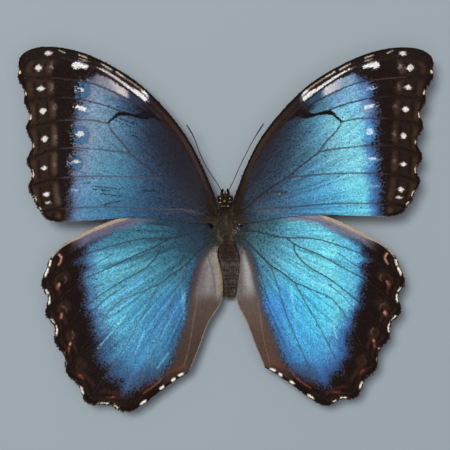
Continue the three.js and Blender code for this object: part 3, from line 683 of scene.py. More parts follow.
def hindwing_upper(coat):
    """Blue field, brightest in the middle; black border with red and cream marks; grey-brown inner fold."""
    x, y, left, either = coat.x, coat.y, coat.left, coat.either
    lay, mark, line = coat.lay, coat.mark, coat.line
    dust, cloud, streak, pleat = coat.dust, coat.cloud, coat.streak, coat.pleat
    # the left fold reaches further out
    widened = 1.3 * left * fade(-4, -9, y) * fade(-30, -18, y) * fade(15, 10, x)
    edge = inside(x - widened, y, HINDWING_FIELD) - 0.4 - 0.5 * fade(-22, -30, y)
    level = coat.reach / 31 - 0.20 * fade(0.25, 1.1, np.abs(coat.angle + 0.50)) + 0.04 * cloud
    # painted light and shade along the pleats
    level = level + either(0.13, 0.15) * pleat * fade(8, 18, coat.reach)
    # painted light and shade: the left wing's blue darker at the front and outside, the right wing's brighter
    # in its middle, as each catches the light; several paired blues below differ likewise
    if left:
        level = level - 0.13 * fade(-13, -2, y) - 0.07 * fade(24, 34, x)
        level = level - 0.08 * fade(-4, 0, y) * fade(14, 18, x)
    else:
        level = level + 0.14 * fade(-14, -8, y) * fade(12, 19, x) * fade(32, 28, x)
    coat.rgb = coat.ramp(HINDWING_TONES[coat.wing.side], level)
    coat.blue[:] = fade(0.02, 0.35, level)
    azure = fade(-9, -22, y) * fade(36, 22, x)
    lay(either("#3ab2e4", "#4088b6"), either(0.7, 0.55) * azure, 1)
    strip = fade(0.3, 0.8, grain(coat.angle * 13 + 0.35, coat.reach / 60, 77) + 0.35)
    strip = azure * strip * fade(14, 22, coat.reach)
    lay(either("#3f78d0", "#3f76b0"), 0.55 * strip * either(fade(24, 16, x), 1), 1)
    inward = fade(22, 14, x) * fade(6, 2, edge)
    lay(either("#4173b4", "#3f6f9c"), 0.55 * fade(-16, -24, y) * inward, 1)
    lay(either("#3b6c8c", "#35607c"), 0.55 * fade(-7, -10, y) * fade(-20, -16, y) * inward, 0.9)
    outer = fade(24, 34, x + 0.3 * np.maximum(-y - 18, 0)) * (0.3 + 0.7 * fade(-2, -7, y))
    rough_edge = edge + 0.5 * cloud + 0.5 * dust
    dusk = outer * fade(4.0 + 1.2 * left, 1.2 + 0.6 * left, rough_edge)
    lay(either("#3c72b0", "#41628c"), 0.75 * dusk, 0.8)
    if not left:
        lay("#48a4d6", 0.4 * fade(29, 33, x) * fade(-2, -5, y) * fade(-24, -18, y), 0.9)
        low = fade(-20, -25, y) * fade(22, 28, x)
        lay("#3a70ae", 0.65 * low * fade(7.0, 2.5, rough_edge), 0.8)
    lay("#33405e", 0.5 * outer * fade(2.2, 0.4, rough_edge), 0.4)
    lay(either("#3f7ac0", "#3f78a8"), 0.6 * fade(-24, -37, y + 1.2 * pleat), 0.9)
    lay(either("#3a5f92", "#3a5e84"), 0.6 * fade(-33, -41, y + 1.5 * pleat), 0.7)
    low = fade(-20, -34, y)
    inner = x - np.interp(-y, (5, 16, 26, 36, 42), (4.5, 8.4, 11.8, 14.6, 19))
    dusk = fade(2.2 + 3.6 * low, -0.6, edge + 0.5 * cloud + 0.2 * dust)
    dusk = dusk * (0.35 + 0.65 * fade(1, 5, inner))
    lay(either("#2d4a7a", "#2f4866"), (0.35 + 0.3 * low) * dusk, 0.7)
    lay("#2e2c40", 0.75 * fade(1.9, -0.6, edge + 0.3 * cloud) * fade(0.5, 3, inner), 0.3)
    lay("#40455c", 0.65 * fade(-36, -41, y + 0.8 * pleat) * fade(29, 20, x), 0.4)
    coat.strew("#22303a", 0.17 * fade(0.7, 0.1, level) + 0.006)
    # painted highlights along the pleats
    bright = either("#8be0f0", "#7fd2e4")
    for points, wide, amount in GLINTS[coat.wing.side]:
        line(points, wide, bright, amount, 0.6 * wide, 0.25, 1)
    # painted shade in the pleats' creases
    for points in PLEAT_SHADE_LINES:
        line(points, 0.3, "#23364a", 0.6, 0.25, 0.16)

    # border, dusted into the blue
    grainy = edge + 1.15 * dust + 0.4 * streak + 0.3 * cloud
    border = fade(0.25, -0.25, grainy) * (edge < 2.5)
    lay("#190e0b", border, 0)
    lay("#323c60", 0.6 * border * fade(-2.2, 0, edge) * (coat.chance > 0.86))
    rim, _ = to_line(x, y, HINDWING_MARGIN, 6)
    ripple = hump((rim - 3.6 - 0.5 * cloud) / 0.5) + 0.8 * hump((rim - 1.7) / 0.3)
    lay("#4a3022", 0.5 * ripple * border * fade(0.3, 1.2, coat.vein_gap) * fade(-2, -6, y), 0)
    for cx, cy, w, h, turn in ((43.4, -12.8, 3.0, 2.6, 0), (43.0, -20.9, 3.0, 2.6, -30),
                               (40.8, -29, 2.2, 3.0, -30), (37.6, -36.6, 2.0, 3.6, -30)):
        mark(cx, cy, w, h, "#3d2a20", turn, 0.55, 0.5, 0.8)

    # front strip: mauve under a thin tan edge, where the forewing's cover ends
    front, _ = to_line(x, y, HINDWING_COSTA, 6)
    mauve = fade(*either((13, 19), (18, 25)), x) * fade(3.4, 2.5, front + 0.6 * dust + 0.3 * cloud)
    mauve = mauve * fade(43, 37, x + 0.6 * dust) * (y > -8)
    lay(either("#7a7b90", "#676880"), 0.9 * mauve, 0)
    lay(either("#8a818c", "#7a6d78"), 0.5 * mauve * fade(2.2, 1.2, front), 0)
    tan = 0.95 * fade(24, 28, x) * fade(46, 34, x) + 0.4 * fade(34, 40, x)
    lay("#ab9883", fade(-0.2, 0.15, tan - front) * fade(22, 27, x) * (y > -9) * fade(48.5, 47, x), 0)

    # inner fold: grey-brown, with a pale patch beside the abdomen
    fold = fade(16, 12, x + 0.2 * np.minimum(y + 26, 0)) * fade(-3, -5, y)
    brown = coat.ramp(either(("#5f5049", "#523f36"), ("#54463f", "#463730")), fade(-20, -34, y))
    lay("#3c3f4e", 0.75 * fold * fade(2.0, -0.4, edge + 0.4 * dust + 0.3 * cloud), 0.25)
    amount = np.clip(fold * fade(0.9, -1.1, edge + 0.8 * dust + 0.3 * streak), 0, 1)
    coat.rgb += (brown - coat.rgb) * amount[..., None]
    coat.blue *= 1 - amount
    lay("#352521", 0.7 * fade(-36.8, -39.5, y) * fade(21, 15, x) * fade(11.5, 13.5, x), 0)
    patch = fold * fade(-20.5, -16.5, y + 0.5 * cloud) * fade(-0.2, -1.6, edge)
    lay(either("#77706f", "#70676a"), 0.9 * patch, 0)
    pale = patch * hump((x - 6.0 + 0.1 * (y + 12)) / 1.3) * fade(-20, -14, y)
    lay(either("#9a9898", "#868081"), pale, 0)
    # a strip beside the abdomen: darker on the right, painted shade of the abdomen; paler on the left
    lay(either("#5e5653", "#8b857f"), 0.7 * patch * hump((x - 4.0) / 0.8), 0)
    line([(8.7, -18.5), (10, -27.6), (10.9, -32.3), (12.2, -37)], 0.3, "#766962", 0.65, 0.25, 0.12)
    if left:
        lobe = fade(0.25, -0.25, x - np.interp(-y, (5, 8, 12.5, 16.5, 20), (6.2, 5.9, 5.3, 4.7, 4.1)))
        lay("#827b75", 0.75 * patch * lobe, 0)
        lay("#9a9188", 0.5 * patch * lobe * hump((x - 4.6 + 0.05 * (y + 13)) / 0.5), 0)
        lap = [(6.2, -6), (5.9, -8), (5.3, -12.5), (4.7, -16.5), (4.1, -20)]
        line(lap, 0.25, "#54483f", 0.6, 0.2, 0.16, 0)
        golden = fade(0.45, 0.15, to_line(x, y, HINDWING_INNER, 1)[0]) * fade(-8, -11, y) * fade(-22, -18, y)
        lay("#8a6a3c", 0.7 * golden * (0.7 + 0.4 * cloud))

    # red, pink and rust marks inside the border
    red, pink = "#8c4232", "#c08c80"
    line([(44.7, -6.9), (44.1, -7.8), (44.4, -8.8), (45, -9.7)], 0.65, pink, 0.9, 0.4, 0.2)
    for cx, cy, w, h, turn in ((45.3, -15.5, 0.8, 1.5, 0), (44.5, -23.8, 0.9, 1.2, -20),
                               (41.35, -32.2, 0.6, 2.3, 6), (38.1, -39.7, 1.9, 0.6, 42),
                               (30.9, -45.4, 1.8, 0.45, 5)):
        mark(cx, cy, w, h, red, turn, 0.9, 0.2, 0.3)
    for cx, cy, h in ((44.8, -14.9, 1.2), (44.2, -23.3, 1.1), (41.2, -31.0, 0.8)):
        mark(cx, cy, 0.6, h, pink, 0, 0.85, 0.15)
    for points in ([(43.1, -12.9), (42.8, -13.7), (43.3, -14.6)],
                   [(44.0, -20.9), (43.0, -21.4), (42.7, -22.4)],
                   [(40.9, -27.8), (40.4, -28.8), (40.8, -29.6)]):
        line(points, 0.45, "#6b5349", 0.7, 0.25, 0.2)
    line([(18.6, -40.4), (20, -41.8), (22, -43.2), (23.6, -44.3)], 0.5, "#7e4330", 0.85, 0.4, 0.2)
    line([(18.9, -41.9), (21, -43.5), (24, -45.6)], 0.4, "#100a08", 0.8, 0.3, 0.2)
    line([(11.8, -37.0), (14.6, -37.9), (18, -39.6)], 0.9, "#6e3c2a", 0.6, 0.5, 0.4)
    lay("#130c0a", 0.8 * fade(0.9, 0.5, rim) * fade(12, 14, x), 0)
    for cx, cy, w, h, turn in HINDWING_NOTCHES:
        mark(cx, cy, w + 0.2, h + 0.2, "#e6dccb", turn, fade(0.95, 0.65, rim), 0.05)
    stem = either("#26262c", "#2b2c34")
    coat.vein_lines(stem, either("#4f5f70", "#667078"), 0.85 * fade(-0.8, 0.4, edge) * (1 - 0.7 * mauve),
                    0.62, either(0.5, 0.65))
    lay("#2a2420", 0.7 * fade(4.5, 2.0, coat.reach + 0.6 * dust), 0)


FOREWING_EYESPOTS = [(40.0, 39.2, 2.6), (40.4, 34.4, 1.3), (40.4, 27.3, 3.1), (41.0, 19.7, 3.3)]
HINDWING_EYESPOTS = [(33.4, -9.6, 3.9), (35.6, -20.4, 2.0), (32.6, -27.4, 3.3), (27.6, -33.8, 3.3),
                     (20.6, -33.4, 2.4)]


def eyespot(coat, cx, cy, r):
    """Rings from outside in: dark brown, yellow, black, then a blue-grey and a white pupil."""
    for size, code, amount in ((1.28, "#2c1e17", 0.85), (1.05, "#b58f3c", 1.0), (0.84, "#5a2f1c", 1.0),
                               (0.76, "#120d0c", 1.0)):
        coat.mark(cx, cy, 2 * r * size, 2 * r * size * 1.12, code, 10, amount, 0.12, 0.16)
    coat.mark(cx + 0.1 * r, cy, 0.62 * r, 1.0 * r, "#52637c", 10, 0.8, 0.15)
    coat.mark(cx + 0.1 * r, cy, 0.3 * r, 0.66 * r, "#eeebe4", 10, 1.0, 0.05)


def under_ground(coat, dark, light):
    """Brown ground in wavy bands across the wing, as a morpho at rest shows."""
    wave = np.sin(coat.reach / 2.9 + 1.6 * grain(coat.angle * 6, coat.reach / 20, 61))
    coat.rgb = coat.ramp((dark, light), 0.45 + 0.25 * wave + 0.25 * coat.cloud)


def under_bands(coat, outline, band_code, edge_code):
    """Two thin pale lines that follow the outer margin, and a rust one inside them."""
    rim, _ = to_line(coat.x, coat.y, outline, 7)
    coat.lay("#2c1f18", 0.7 * fade(1.2, 0.6, rim))
    coat.lay(edge_code, 0.8 * fade(0.35, 0.15, np.abs(rim - 1.5 - 0.2 * coat.cloud)))
    coat.lay(band_code, 0.75 * fade(0.5, 0.25, np.abs(rim - 2.9 - 0.3 * coat.cloud)))
    coat.lay("#7c4630", 0.6 * fade(0.45, 0.2, np.abs(rim - 4.6 - 0.3 * coat.cloud)))


def forewing_under(coat):
    """Brown with pale bars over the cell, four ringed eyespots and a pale band outside them."""
    under_ground(coat, "#4a382b", "#6d5846")
    x, y = coat.x, coat.y
    coat.lay("#8b7a68", 0.6 * fade(14, 4, y) * fade(20, 34, x) * fade(44, 38, x))
    for points, width in (([(12.5, 19.5), (14.6, 17.2), (15.5, 14.6)], 1.3),
                          ([(20.6, 27.5), (23.4, 24.3), (24.3, 21.5)], 1.5),
                          ([(24.5, 35.5), (29, 33.5), (32.5, 29.2)], 1.5), ([(7.2, 12.5), (8.6, 10.4)], 1.0)):
        coat.line(points, width, "#c5b596", 0.85, 0.7 * width, 0.3)
        coat.line([(px + 1.2, py + 0.3) for px, py in points], 0.5, "#2a1d16", 0.7, 0.3, 0.2)
    band = [(35, 45.5), (36, 40), (35.8, 34), (35.2, 27), (36, 19), (36.4, 11), (36.4, 5)]
    coat.line(band, 1.3, "#bcae98", 0.7, 1.0, 0.5)
    under_bands(coat, FOREWING_MARGIN, "#c8b99c", "#d8ccb4")
    for cx, cy, r in FOREWING_EYESPOTS:
        eyespot(coat, cx, cy, r)
    coat.mark(40.3, 45.7, 4.0, 1.5, "#d8cfc0", 6, 0.8, 0.4)
    coat.vein_lines("#2e2119", "#3a2b21", 0.85)


def hindwing_under(coat):
    """Brown with wavy pale bars near the root and a row of large ringed eyespots."""
    under_ground(coat, "#443227", "#665040")
    for points, width in (([(8, 3), (9.6, -3), (9.2, -9), (10.4, -16)], 1.0),
                          ([(16.8, 3), (15.8, -4), (17.2, -11), (16, -20), (17.8, -28)], 1.3),
                          ([(24.5, 3), (25.2, -4.5), (26.4, -12), (25.4, -20), (22.4, -27)], 1.2)):
        coat.line(points, width, "#bfb092", 0.75, 0.6 * width, 0.35)
        coat.line([(px + 1.1, py) for px, py in points], 0.5, "#291c16", 0.7, 0.3, 0.2)
    under_bands(coat, HINDWING_MARGIN, "#b3a184", "#d6c9ae")
    coat.line([(40.8, -4.5), (41.4, -13), (41, -21), (38, -29), (33.5, -37), (27.8, -42), (20.2, -39.6)], 1.0,
              "#8d7b66", 0.7, 0.8, 0.4)
    for cx, cy, r in HINDWING_EYESPOTS:
        eyespot(coat, cx, cy, r)
    coat.lay("#8b7c70", 0.5 * fade(9, 5, coat.x) * fade(-4, -9, coat.y))
    coat.vein_lines("#2c1f18", "#382a20", 0.85)


MARKINGS = {
    ("forewing", 1): forewing_upper, ("hindwing", 1): hindwing_upper,
    ("forewing", -1): forewing_under, ("hindwing", -1): hindwing_under,
}


# The share of a blue scale's brightness that its metallic shine gives: less on the left, where
# the scales lean away from the light
SHINE = {"forewing_right": 0.54, "forewing_left": 0.37, "hindwing_right": 0.53, "hindwing_left": 0.31}


def marked(wing, x, y, face, depth=0.2):
    """Linear colour and blue share at plan places of a wing's upper (1) or under (-1) face."""
    coat = Coat(wing, x, y)
    MARKINGS[wing.kind, face](coat)
    coat.speckle(depth)
    blue = np.clip(coat.blue, 0, 1)
    return linear(coat.rgb) * (1 - SHINE[wing.node] * blue)[..., None], blue


# ---------------- meshes

def new_mesh(name, points, faces, smooth=True):
    """A mesh object from millimetre points (n, 3) and a face table (m, 3 or 4), put in whole."""
    mesh = bpy.data.meshes.new(name)
    corners = faces.shape[1]
    mesh.vertices.add(len(points))
    mesh.vertices.foreach_set("co", (np.asarray(points) * MM).astype(np.float32).ravel())
    mesh.loops.add(faces.size)
    mesh.loops.foreach_set("vertex_index", faces.astype(np.int32).ravel())
    mesh.polygons.add(len(faces))
    mesh.polygons.foreach_set("loop_start", np.arange(0, faces.size, corners, dtype=np.int32))
    mesh.polygons.foreach_set("use_smooth", np.full(len(faces), smooth))
    mesh.update(calc_edges=True)
    mesh.validate()
    piece = bpy.data.objects.new(name, mesh)
    bpy.context.scene.collection.objects.link(piece)
    return piece


def give_colour(piece, name, colours):
    """Stores linear colours, one per point, as an attribute."""
    layer = piece.data.attributes.new(name, "FLOAT_COLOR", "POINT")
    full = np.concatenate([colours, np.ones((len(colours), 1))], 1)
    layer.data.foreach_set("color", full.astype(np.float32).ravel())


def tinted(piece, colours):
    """Stores sRGB colours, one per point or one for all, as the piece's linear tint."""
    give_colour(piece, "tint", np.broadcast_to(linear(colours), (len(piece.data.vertices), 3)))
    return piece


def give_value(piece, name, values):
    """Stores one number per point as an attribute."""
    layer = piece.data.attributes.new(name, "FLOAT", "POINT")
    layer.data.foreach_set("value", np.asarray(values, np.float32).ravel())


def give_map(piece, uv):
    """Stores the bake map, one place per face corner."""
    layer = piece.data.uv_layers.new(name="OFBake")
    layer.uv.foreach_set("vector", uv.astype(np.float32).ravel())


def rides(piece, material, slot, *nodes):
    """Fixes a piece to the still frame with its finish and the solids that it stands for."""
    piece.data.materials.append(material)
    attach(piece, "root")
    if nodes:
        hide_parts(*nodes)
    return piece


def grid_faces(rows, columns, wrap=False):
    """Quads over a grid of points stored row by row; wrap joins the last column to the first."""
    i, j = np.meshgrid(np.arange(rows - 1), np.arange(columns if wrap else columns - 1), indexing="ij")
    k = (j + 1) % columns
    a, b = i * columns + j, i * columns + k
    return np.stack([a, b, b + columns, a + columns], -1).reshape(-1, 4)


# One scale: a thin wedge, pointed at its root, blunt at its tip. Columns: across, along, up.
SCALE_POINTS = np.array([
    (0, 0, 0), (-0.5, 0.6, 0.75), (0.5, 0.6, 0.75), (-0.34, 1, 1), (0.34, 1, 1), (0, 0.66, 0.25),
])
SCALE_FACES = np.array([
    (0, 2, 1), (1, 2, 4), (1, 4, 3), (5, 0, 1), (5, 2, 0), (5, 4, 2), (5, 3, 4), (5, 1, 3),
])
# One hair: a three-sided spike that bends once. Columns as above.
HAIR_POINTS = np.array([
    (-0.5, 0, 0), (0.5, 0, 0), (0, 0, 0.9), (-0.36, 0.5, 0.62), (0.36, 0.5, 0.62), (0, 0.5, 1.25),
    (0, 1, 1.0),
])
HAIR_FACES = np.array([
    (0, 2, 1), (0, 1, 4), (0, 4, 3), (1, 2, 5), (1, 5, 4), (2, 0, 3), (2, 3, 5), (3, 4, 6), (4, 5, 6),
    (5, 3, 6),
])
PATCH = 0.003  # each tuft's share of the bake map


def planted(name, points, faces, root, along, up, size, place):
    """Many copies of one small shape, set in rows of arrays.

    Copy n puts each shape point (a, b, c) at root + across a*w + along b*l + up c*h, where
    size holds (w, l, h) and across is along x up. place is the root's spot on the skin's unwrap;
    the part of the unwrap that the coat covers is stretched to fill the bake map."""
    across = unit(np.cross(along, up))
    w, l, h = (np.broadcast_to(value, len(root))[:, None, None] for value in size)
    a, b, c = (points[None, :, k, None] for k in range(3))
    spots = root[:, None] + across[:, None] * a * w + along[:, None] * b * l + up[:, None] * c * h
    table = faces[None] + (np.arange(len(root)) * len(points))[:, None, None]
    piece = new_mesh(name, spots.reshape(-1, 3), table.reshape(-1, 3), smooth=False)
    local = (points[:, :2] - (0, 0.5))[faces.ravel()] * PATCH
    place = np.stack(place, -1)
    place = (place - place.min(0)) / np.ptp(place, axis=0)
    uv = place[:, None] * (1 - 2 * PATCH) + PATCH + local[None]
    give_map(piece, uv.reshape(-1, 2))
    return piece


def plant_scales(name, *layout, tint, blue):
    """A coat of wedge scales in their own linear tint and share of glossy blue."""
    piece = planted(name, SCALE_POINTS, SCALE_FACES, *layout)
    give_colour(piece, "tint", np.repeat(np.clip(tint, 0, 1), len(SCALE_POINTS), 0))
    give_value(piece, "blue", np.repeat(blue, len(SCALE_POINTS)))
    rides(piece, SCALES, "wing")


def plant_hairs(name, slot, *layout, tint):
    """A coat of hairs in their own sRGB tint."""
    piece = planted(name, HAIR_POINTS, HAIR_FACES, *layout)
    tinted(piece, np.repeat(tint, len(HAIR_POINTS), 0))
    rides(piece, HAIR, slot)


def tube(path, radius, sides=8, squash=1.0):
    """Points and faces of a closed tube: circles of the given radii across a path, ends in points.

    Each circle stands square to the path on two axes carried along it; the first and last
    rings shrink to almost nothing, which closes the ends."""
    path = np.asarray(path, float)
    radius = np.broadcast_to(radius, len(path)).astype(float)
    squash = np.broadcast_to(squash, len(path))
    path = np.vstack([path[:1], path, path[-1:]])
    radius = np.r_[1e-4, radius, 1e-4]
    squash = np.r_[squash[:1], squash, squash[-1:]][:, None, None]
    heading = unit(np.gradient(path, axis=0))
    guide = np.array([0.0, 0.0, 1.0]) if np.abs(heading[:, 2]).mean() < 0.8 else np.array([1.0, 0.0, 0.0])
    first = unit(np.cross(heading, guide))
    second = np.cross(heading, first)
    angle = np.linspace(0, 2 * np.pi, sides, endpoint=False)
    cos, sin = np.cos(angle)[None, :, None], np.sin(angle)[None, :, None]
    ring = first[:, None] * cos + squash * second[:, None] * sin
    points = path[:, None] + ring * radius[:, None, None]
    faces = grid_faces(len(path), sides, wrap=True)[:, ::-1]
    return points.reshape(-1, 3), faces


def joined(parts):
    """Several (points, faces) pairs as one pair."""
    offset = np.cumsum([0] + [len(points) for points, _ in parts[:-1]])
    return np.vstack([p for p, _ in parts]), np.vstack([f + o for (_, f), o in zip(parts, offset)])


# ---------------- materials

def node(tree, kind, inputs=None, **settings):
    """Adds one node. inputs maps a socket's name or number to a value or to another socket."""
    made = tree.nodes.new(kind)
    for key, value in settings.items():
        setattr(made, key, value)
    for key, value in (inputs or {}).items():
        if isinstance(value, bpy.types.NodeSocket):
            tree.links.new(value, made.inputs[key])
        else:
            made.inputs[key].default_value = value
    return made


def material(name):
    """An empty material and its node tree."""
    made = bpy.data.materials.new(name)
    made.use_nodes = True
    made.node_tree.nodes.clear()
    return made, made.node_tree


def finish(tree, inputs, bump=None, strength=0.3, depth=0.05):
    """Ends a tree in one Principled shader, with an optional bump of the given depth in mm."""
    inputs = dict(inputs)
    if bump is not None:
        inputs["Normal"] = node(tree, "ShaderNodeBump", {
            "Height": bump, "Strength": strength, "Distance": depth * MM}).outputs["Normal"]
    shader = node(tree, "ShaderNodeBsdfPrincipled", inputs)
    node(tree, "ShaderNodeOutputMaterial", {"Surface": shader.outputs["BSDF"]})


def attribute(tree, name, output="Color"):
    """A socket with one of the piece's own attributes."""
    return node(tree, "ShaderNodeAttribute", attribute_name=name).outputs[output]


def relief(tree, kind, grain_mm, settings=None):
    """The height of a Noise or Voronoi pattern over the piece, its grain so many millimetres across."""
    place = node(tree, "ShaderNodeTexCoord").outputs["Object"]
    inputs = {"Vector": place, "Scale": 1 / (grain_mm * MM), **(settings or {})}
    return node(tree, f"ShaderNodeTex{kind}", inputs).outputs["Distance" if kind == "Voronoi" else "Fac"]


def tinted_finish(name, rough, shine, pattern, strength, depth, more=None):
    """A material in the piece's own tint with one relief pattern: (kind, grain in mm, settings)."""
    made, tree = material(name)
    inputs = {"Base Color": attribute(tree, "tint"), "Roughness": rough, "Specular IOR Level": shine}
    finish(tree, {**inputs, **(more or {})}, relief(tree, *pattern), strength, depth)
    return made


def wing_scales():
    """Structural-blue and pigment scales: the blue ones are ridged and reflect like satin metal,
    the brown and white ones are chalky. Ridges run 1/1000 mm apart in life; they are drawn at
    0.12 mm, as fine as can show."""
    made, tree = material("morpho_wing_scales")
    blue = attribute(tree, "blue", "Fac")
    metal = node(tree, "ShaderNodeMath", {0: blue, 1: 0.35}, operation="MULTIPLY").outputs[0]
    rough = node(tree, "ShaderNodeMapRange", {"Value": blue, "To Min": 0.78, "To Max": 0.42})
    finish(tree, {"Base Color": attribute(tree, "tint"), "Metallic": metal,
                  "Roughness": rough.outputs["Result"], "Specular IOR Level": 0.06},
           relief(tree, "Noise", 0.12, {"Detail": 1.0}), 0.25, 0.02)
    return made


def wing_membrane():
    """The thin sheet between the scales: the same markings, dull, as the scales' sockets show."""
    made, tree = material("wing_membrane")
    mixed = {"Factor": 0.35, 6: attribute(tree, "tint"), 7: paint("#1b1614")}
    deep = node(tree, "ShaderNodeMix", mixed, data_type="RGBA")
    finish(tree, {"Base Color": deep.outputs[2], "Roughness": 0.7, "Specular IOR Level": 0.3},
           relief(tree, "Voronoi", 0.3), 0.3, 0.05)
    return made


def eye_lens():
    """A compound eye: nearly black brown under clear gloss, with hexagonal facets. In life they
    are 0.025 mm across; here they are drawn at 0.09 mm so that they can be seen."""
    made, tree = material("compound_eye")
    place = node(tree, "ShaderNodeTexCoord").outputs["Object"]
    bands = node(tree, "ShaderNodeTexWave", {"Vector": place, "Scale": 1 / (2.2 * MM), "Distortion": 2.0},
                 bands_direction="Z")
    mixed = {"Factor": bands.outputs["Fac"], 6: paint("#0d0908"), 7: paint("#2a1a12")}
    tint = node(tree, "ShaderNodeMix", mixed, data_type="RGBA")
    finish(tree, {"Base Color": tint.outputs[2], "Roughness": 0.16, "Specular IOR Level": 0.5,
                  "Coat Weight": 0.35, "Coat Roughness": 0.06},
           relief(tree, "Voronoi", 0.09, {"Randomness": 0.25}), 0.35, 0.02)
    return made


def limb_cuticle(name, grain_mm, rough, shine=0.5):
    """Leg, feeler, palp and tongue: hard brown cuticle with a satin gloss and fine scales."""
    return tinted_finish(name, rough, shine, ("Noise", grain_mm, {"Detail": 2.0}), 0.4, 0.04)


SCALES, MEMBRANE_LOOK, EYE = wing_scales(), wing_membrane(), eye_lens()
# Hardened tubes of cuticle under a thin dusting of scales: dark brown, faintly shiny
VEIN = tinted_finish("vein_cuticle", 0.6, 0.15, ("Noise", 0.35, {"Detail": 3.0}), 0.4, 0.05)
# Horny skin under the hair: dark, faintly glossy, finely pitted
CUTICLE = tinted_finish("body_cuticle", 0.5, 0.3, ("Voronoi", 0.16), 0.5, 0.05)
# Hair scales: matt, with the soft edge-on sheen of fine fibres
HAIR = tinted_finish("body_hair", 0.62, 0.2, ("Noise", 0.1), 0.2, 0.02,
                     {"Sheen Weight": 0.05, "Sheen Roughness": 0.4})
LIMB = limb_cuticle("leg_and_feeler_cuticle", 0.18, 0.48)
GLOSS = limb_cuticle("hinge_plate_cuticle", 0.25, 0.4)
# Near-black and matt: painted shade in the hollows of the wing joints
HOLLOW_SHADE = limb_cuticle("hinge_hollow_painted_shade", 0.25, 0.9, 0.06)
PALP = limb_cuticle("palp_and_tongue_cuticle", 0.12, 0.55)


# ---------------- wings

def make_membrane(wing, rows=90, columns=116):
    """The wing sheet: two grids over (u, v) half a membrane above and below the middle, sewn at the rim."""
    u = np.linspace(0, wing.tip, rows)
    v = np.linspace(0, 1, columns)
    uu, vv = np.meshgrid(np.clip(u, STEP, 1), np.clip(v, STEP, 1 - STEP), indexing="ij")
    here, _, normal, x, y = wing.at(uu, vv)
    to_rim = np.minimum.reduce([vv, 1 - vv, (wing.tip - uu) + 0.002])
    thin = MEMBRANE * np.minimum(1, 0.25 + 12 * to_rim)[..., None]
    points = np.concatenate([(here + normal * thin).reshape(-1, 3), (here - normal * thin).reshape(-1, 3)])
    top = grid_faces(rows, columns)
    under = top[:, ::-1] + rows * columns
    rim = np.concatenate([
        np.arange(columns), (np.arange(1, rows) + 1) * columns - 1,
        rows * columns - 2 - np.arange(columns - 1), (np.arange(rows - 2, 0, -1)) * columns,
    ])
    nxt = np.roll(rim, -1)
    wall = np.stack([nxt, rim, rim + rows * columns, nxt + rows * columns], -1)
    faces = np.concatenate([top, under, wall])
    if wing.side > 0:
        faces = faces[:, ::-1]
    piece = new_mesh(f"{wing.node}_membrane", points, faces)
    upper, _ = marked(wing, x.ravel(), y.ravel(), 1, 0.0)
    lower, _ = marked(wing, x.ravel(), y.ravel(), -1, 0.0)
    give_colour(piece, "tint", np.concatenate([upper, lower]))
    rides(piece, MEMBRANE_LOOK, "wing", wing.node)


def scale_places(wing, pitch, row_gap, low, high):
    """(u, v) of scale roots: rows across the wing from v low to v high, as many scales as each row holds."""
    u = np.linspace(0.02, wing.tip - 0.002, int(WING_RUN / row_gap))
    fine = np.linspace(low, high, 300)
    x, y = wing.plan(*np.meshgrid(u, fine, indexing="ij"))
    run = np.concatenate([np.zeros((len(u), 1)), np.cumsum(np.hypot(np.diff(x), np.diff(y)), 1)], 1)
    counts = np.maximum((run[:, -1] / pitch).astype(int), 2)
    row = np.repeat(np.arange(len(u)), counts)
    index = np.arange(counts.sum()) - np.repeat(np.cumsum(counts) - counts, counts)
    share = (index + 0.5 + 0.5 * (row % 2) + rng.uniform(-0.22, 0.22, len(row))) / (counts[row] + 0.5)
    target = share * run[row, -1]
    v = np.concatenate([np.interp(target[row == k], run[k], fine) for k in range(len(u))])
    jitter = rng.uniform(-0.3, 0.3, len(row)) * (u[1] - u[0])
    return np.clip(u[row] + jitter, 0.004, wing.tip - 0.001), v


# Each coat piece: name, face, from v, to v, gap between neighbours, gap between rows
COATS = (
    ("scales_upper_front", 1, 0.004, 0.5, 0.255, 0.285), ("scales_upper_rear", 1, 0.5, 0.996, 0.255, 0.285),
    ("scales_under", -1, 0.004, 0.996, 0.45, 0.52),
)


# A scale's length in row gaps, its width in gaps between neighbours, its rise in millimetres
SCALE_LENGTH, SCALE_WIDTH, SCALE_RISE = 2.1, 1.3, 0.075


def make_scales(wing, name, face, low, high, pitch, row_gap):
    """One coat piece: rows of overlapping wedge scales whose tips point to the outer margin."""
    u, v = scale_places(wing, pitch, row_gap, low, high)
    x, y = wing.plan(u, v)
    shown = ~on_vein(wing, x, y)
    if face > 0 and not wing.fore:
        shown &= seen_past_forewing(x, y)
    u, v = u[shown], v[shown]
    here, along, normal, x, y = wing.at(u, v)
    up = normal * face
    along = unit(along + np.cross(normal, along) * rng.normal(0, 0.10, len(x))[:, None])
    length = row_gap * SCALE_LENGTH * rng.uniform(0.85, 1.15, len(x))
    width = pitch * SCALE_WIDTH * rng.uniform(0.85, 1.15, len(x))
    lift = SCALE_RISE * rng.uniform(0.7, 1.4, len(x))
    root = here + up * (MEMBRANE - 0.01)
    tint, blue = marked(wing, x, y, face)
    tint = tint * rng.normal(1, 0.08, len(x)).clip(0.6, 1.5)[:, None]
    plant_scales(f"{wing.node}_{name}", root, along, up, (width, length, lift),
                 (u, (v - low) / (high - low)), tint=tint, blue=blue)


def on_vein(wing, x, y):
    """Which places lie under a vein's tube, where no scale is planted."""
    covered = np.zeros(x.shape, bool)
    for points, first, last in VEINS[wing.kind].values():
        gap, t = to_line(x, wing.drawn(x, y), points, 0.5)
        covered |= gap < 0.42 * (first + (last - first) * t)
    return covered


def seen_past_forewing(x, y):
    """Which hindwing places can be seen past the forewing, with 1.5 mm to spare."""
    inner = np.interp(x, [p[0] for p in FOREWING_INNER], [p[1] for p in FOREWING_INNER])
    return (y < inner + 1.5) | (x < 6)


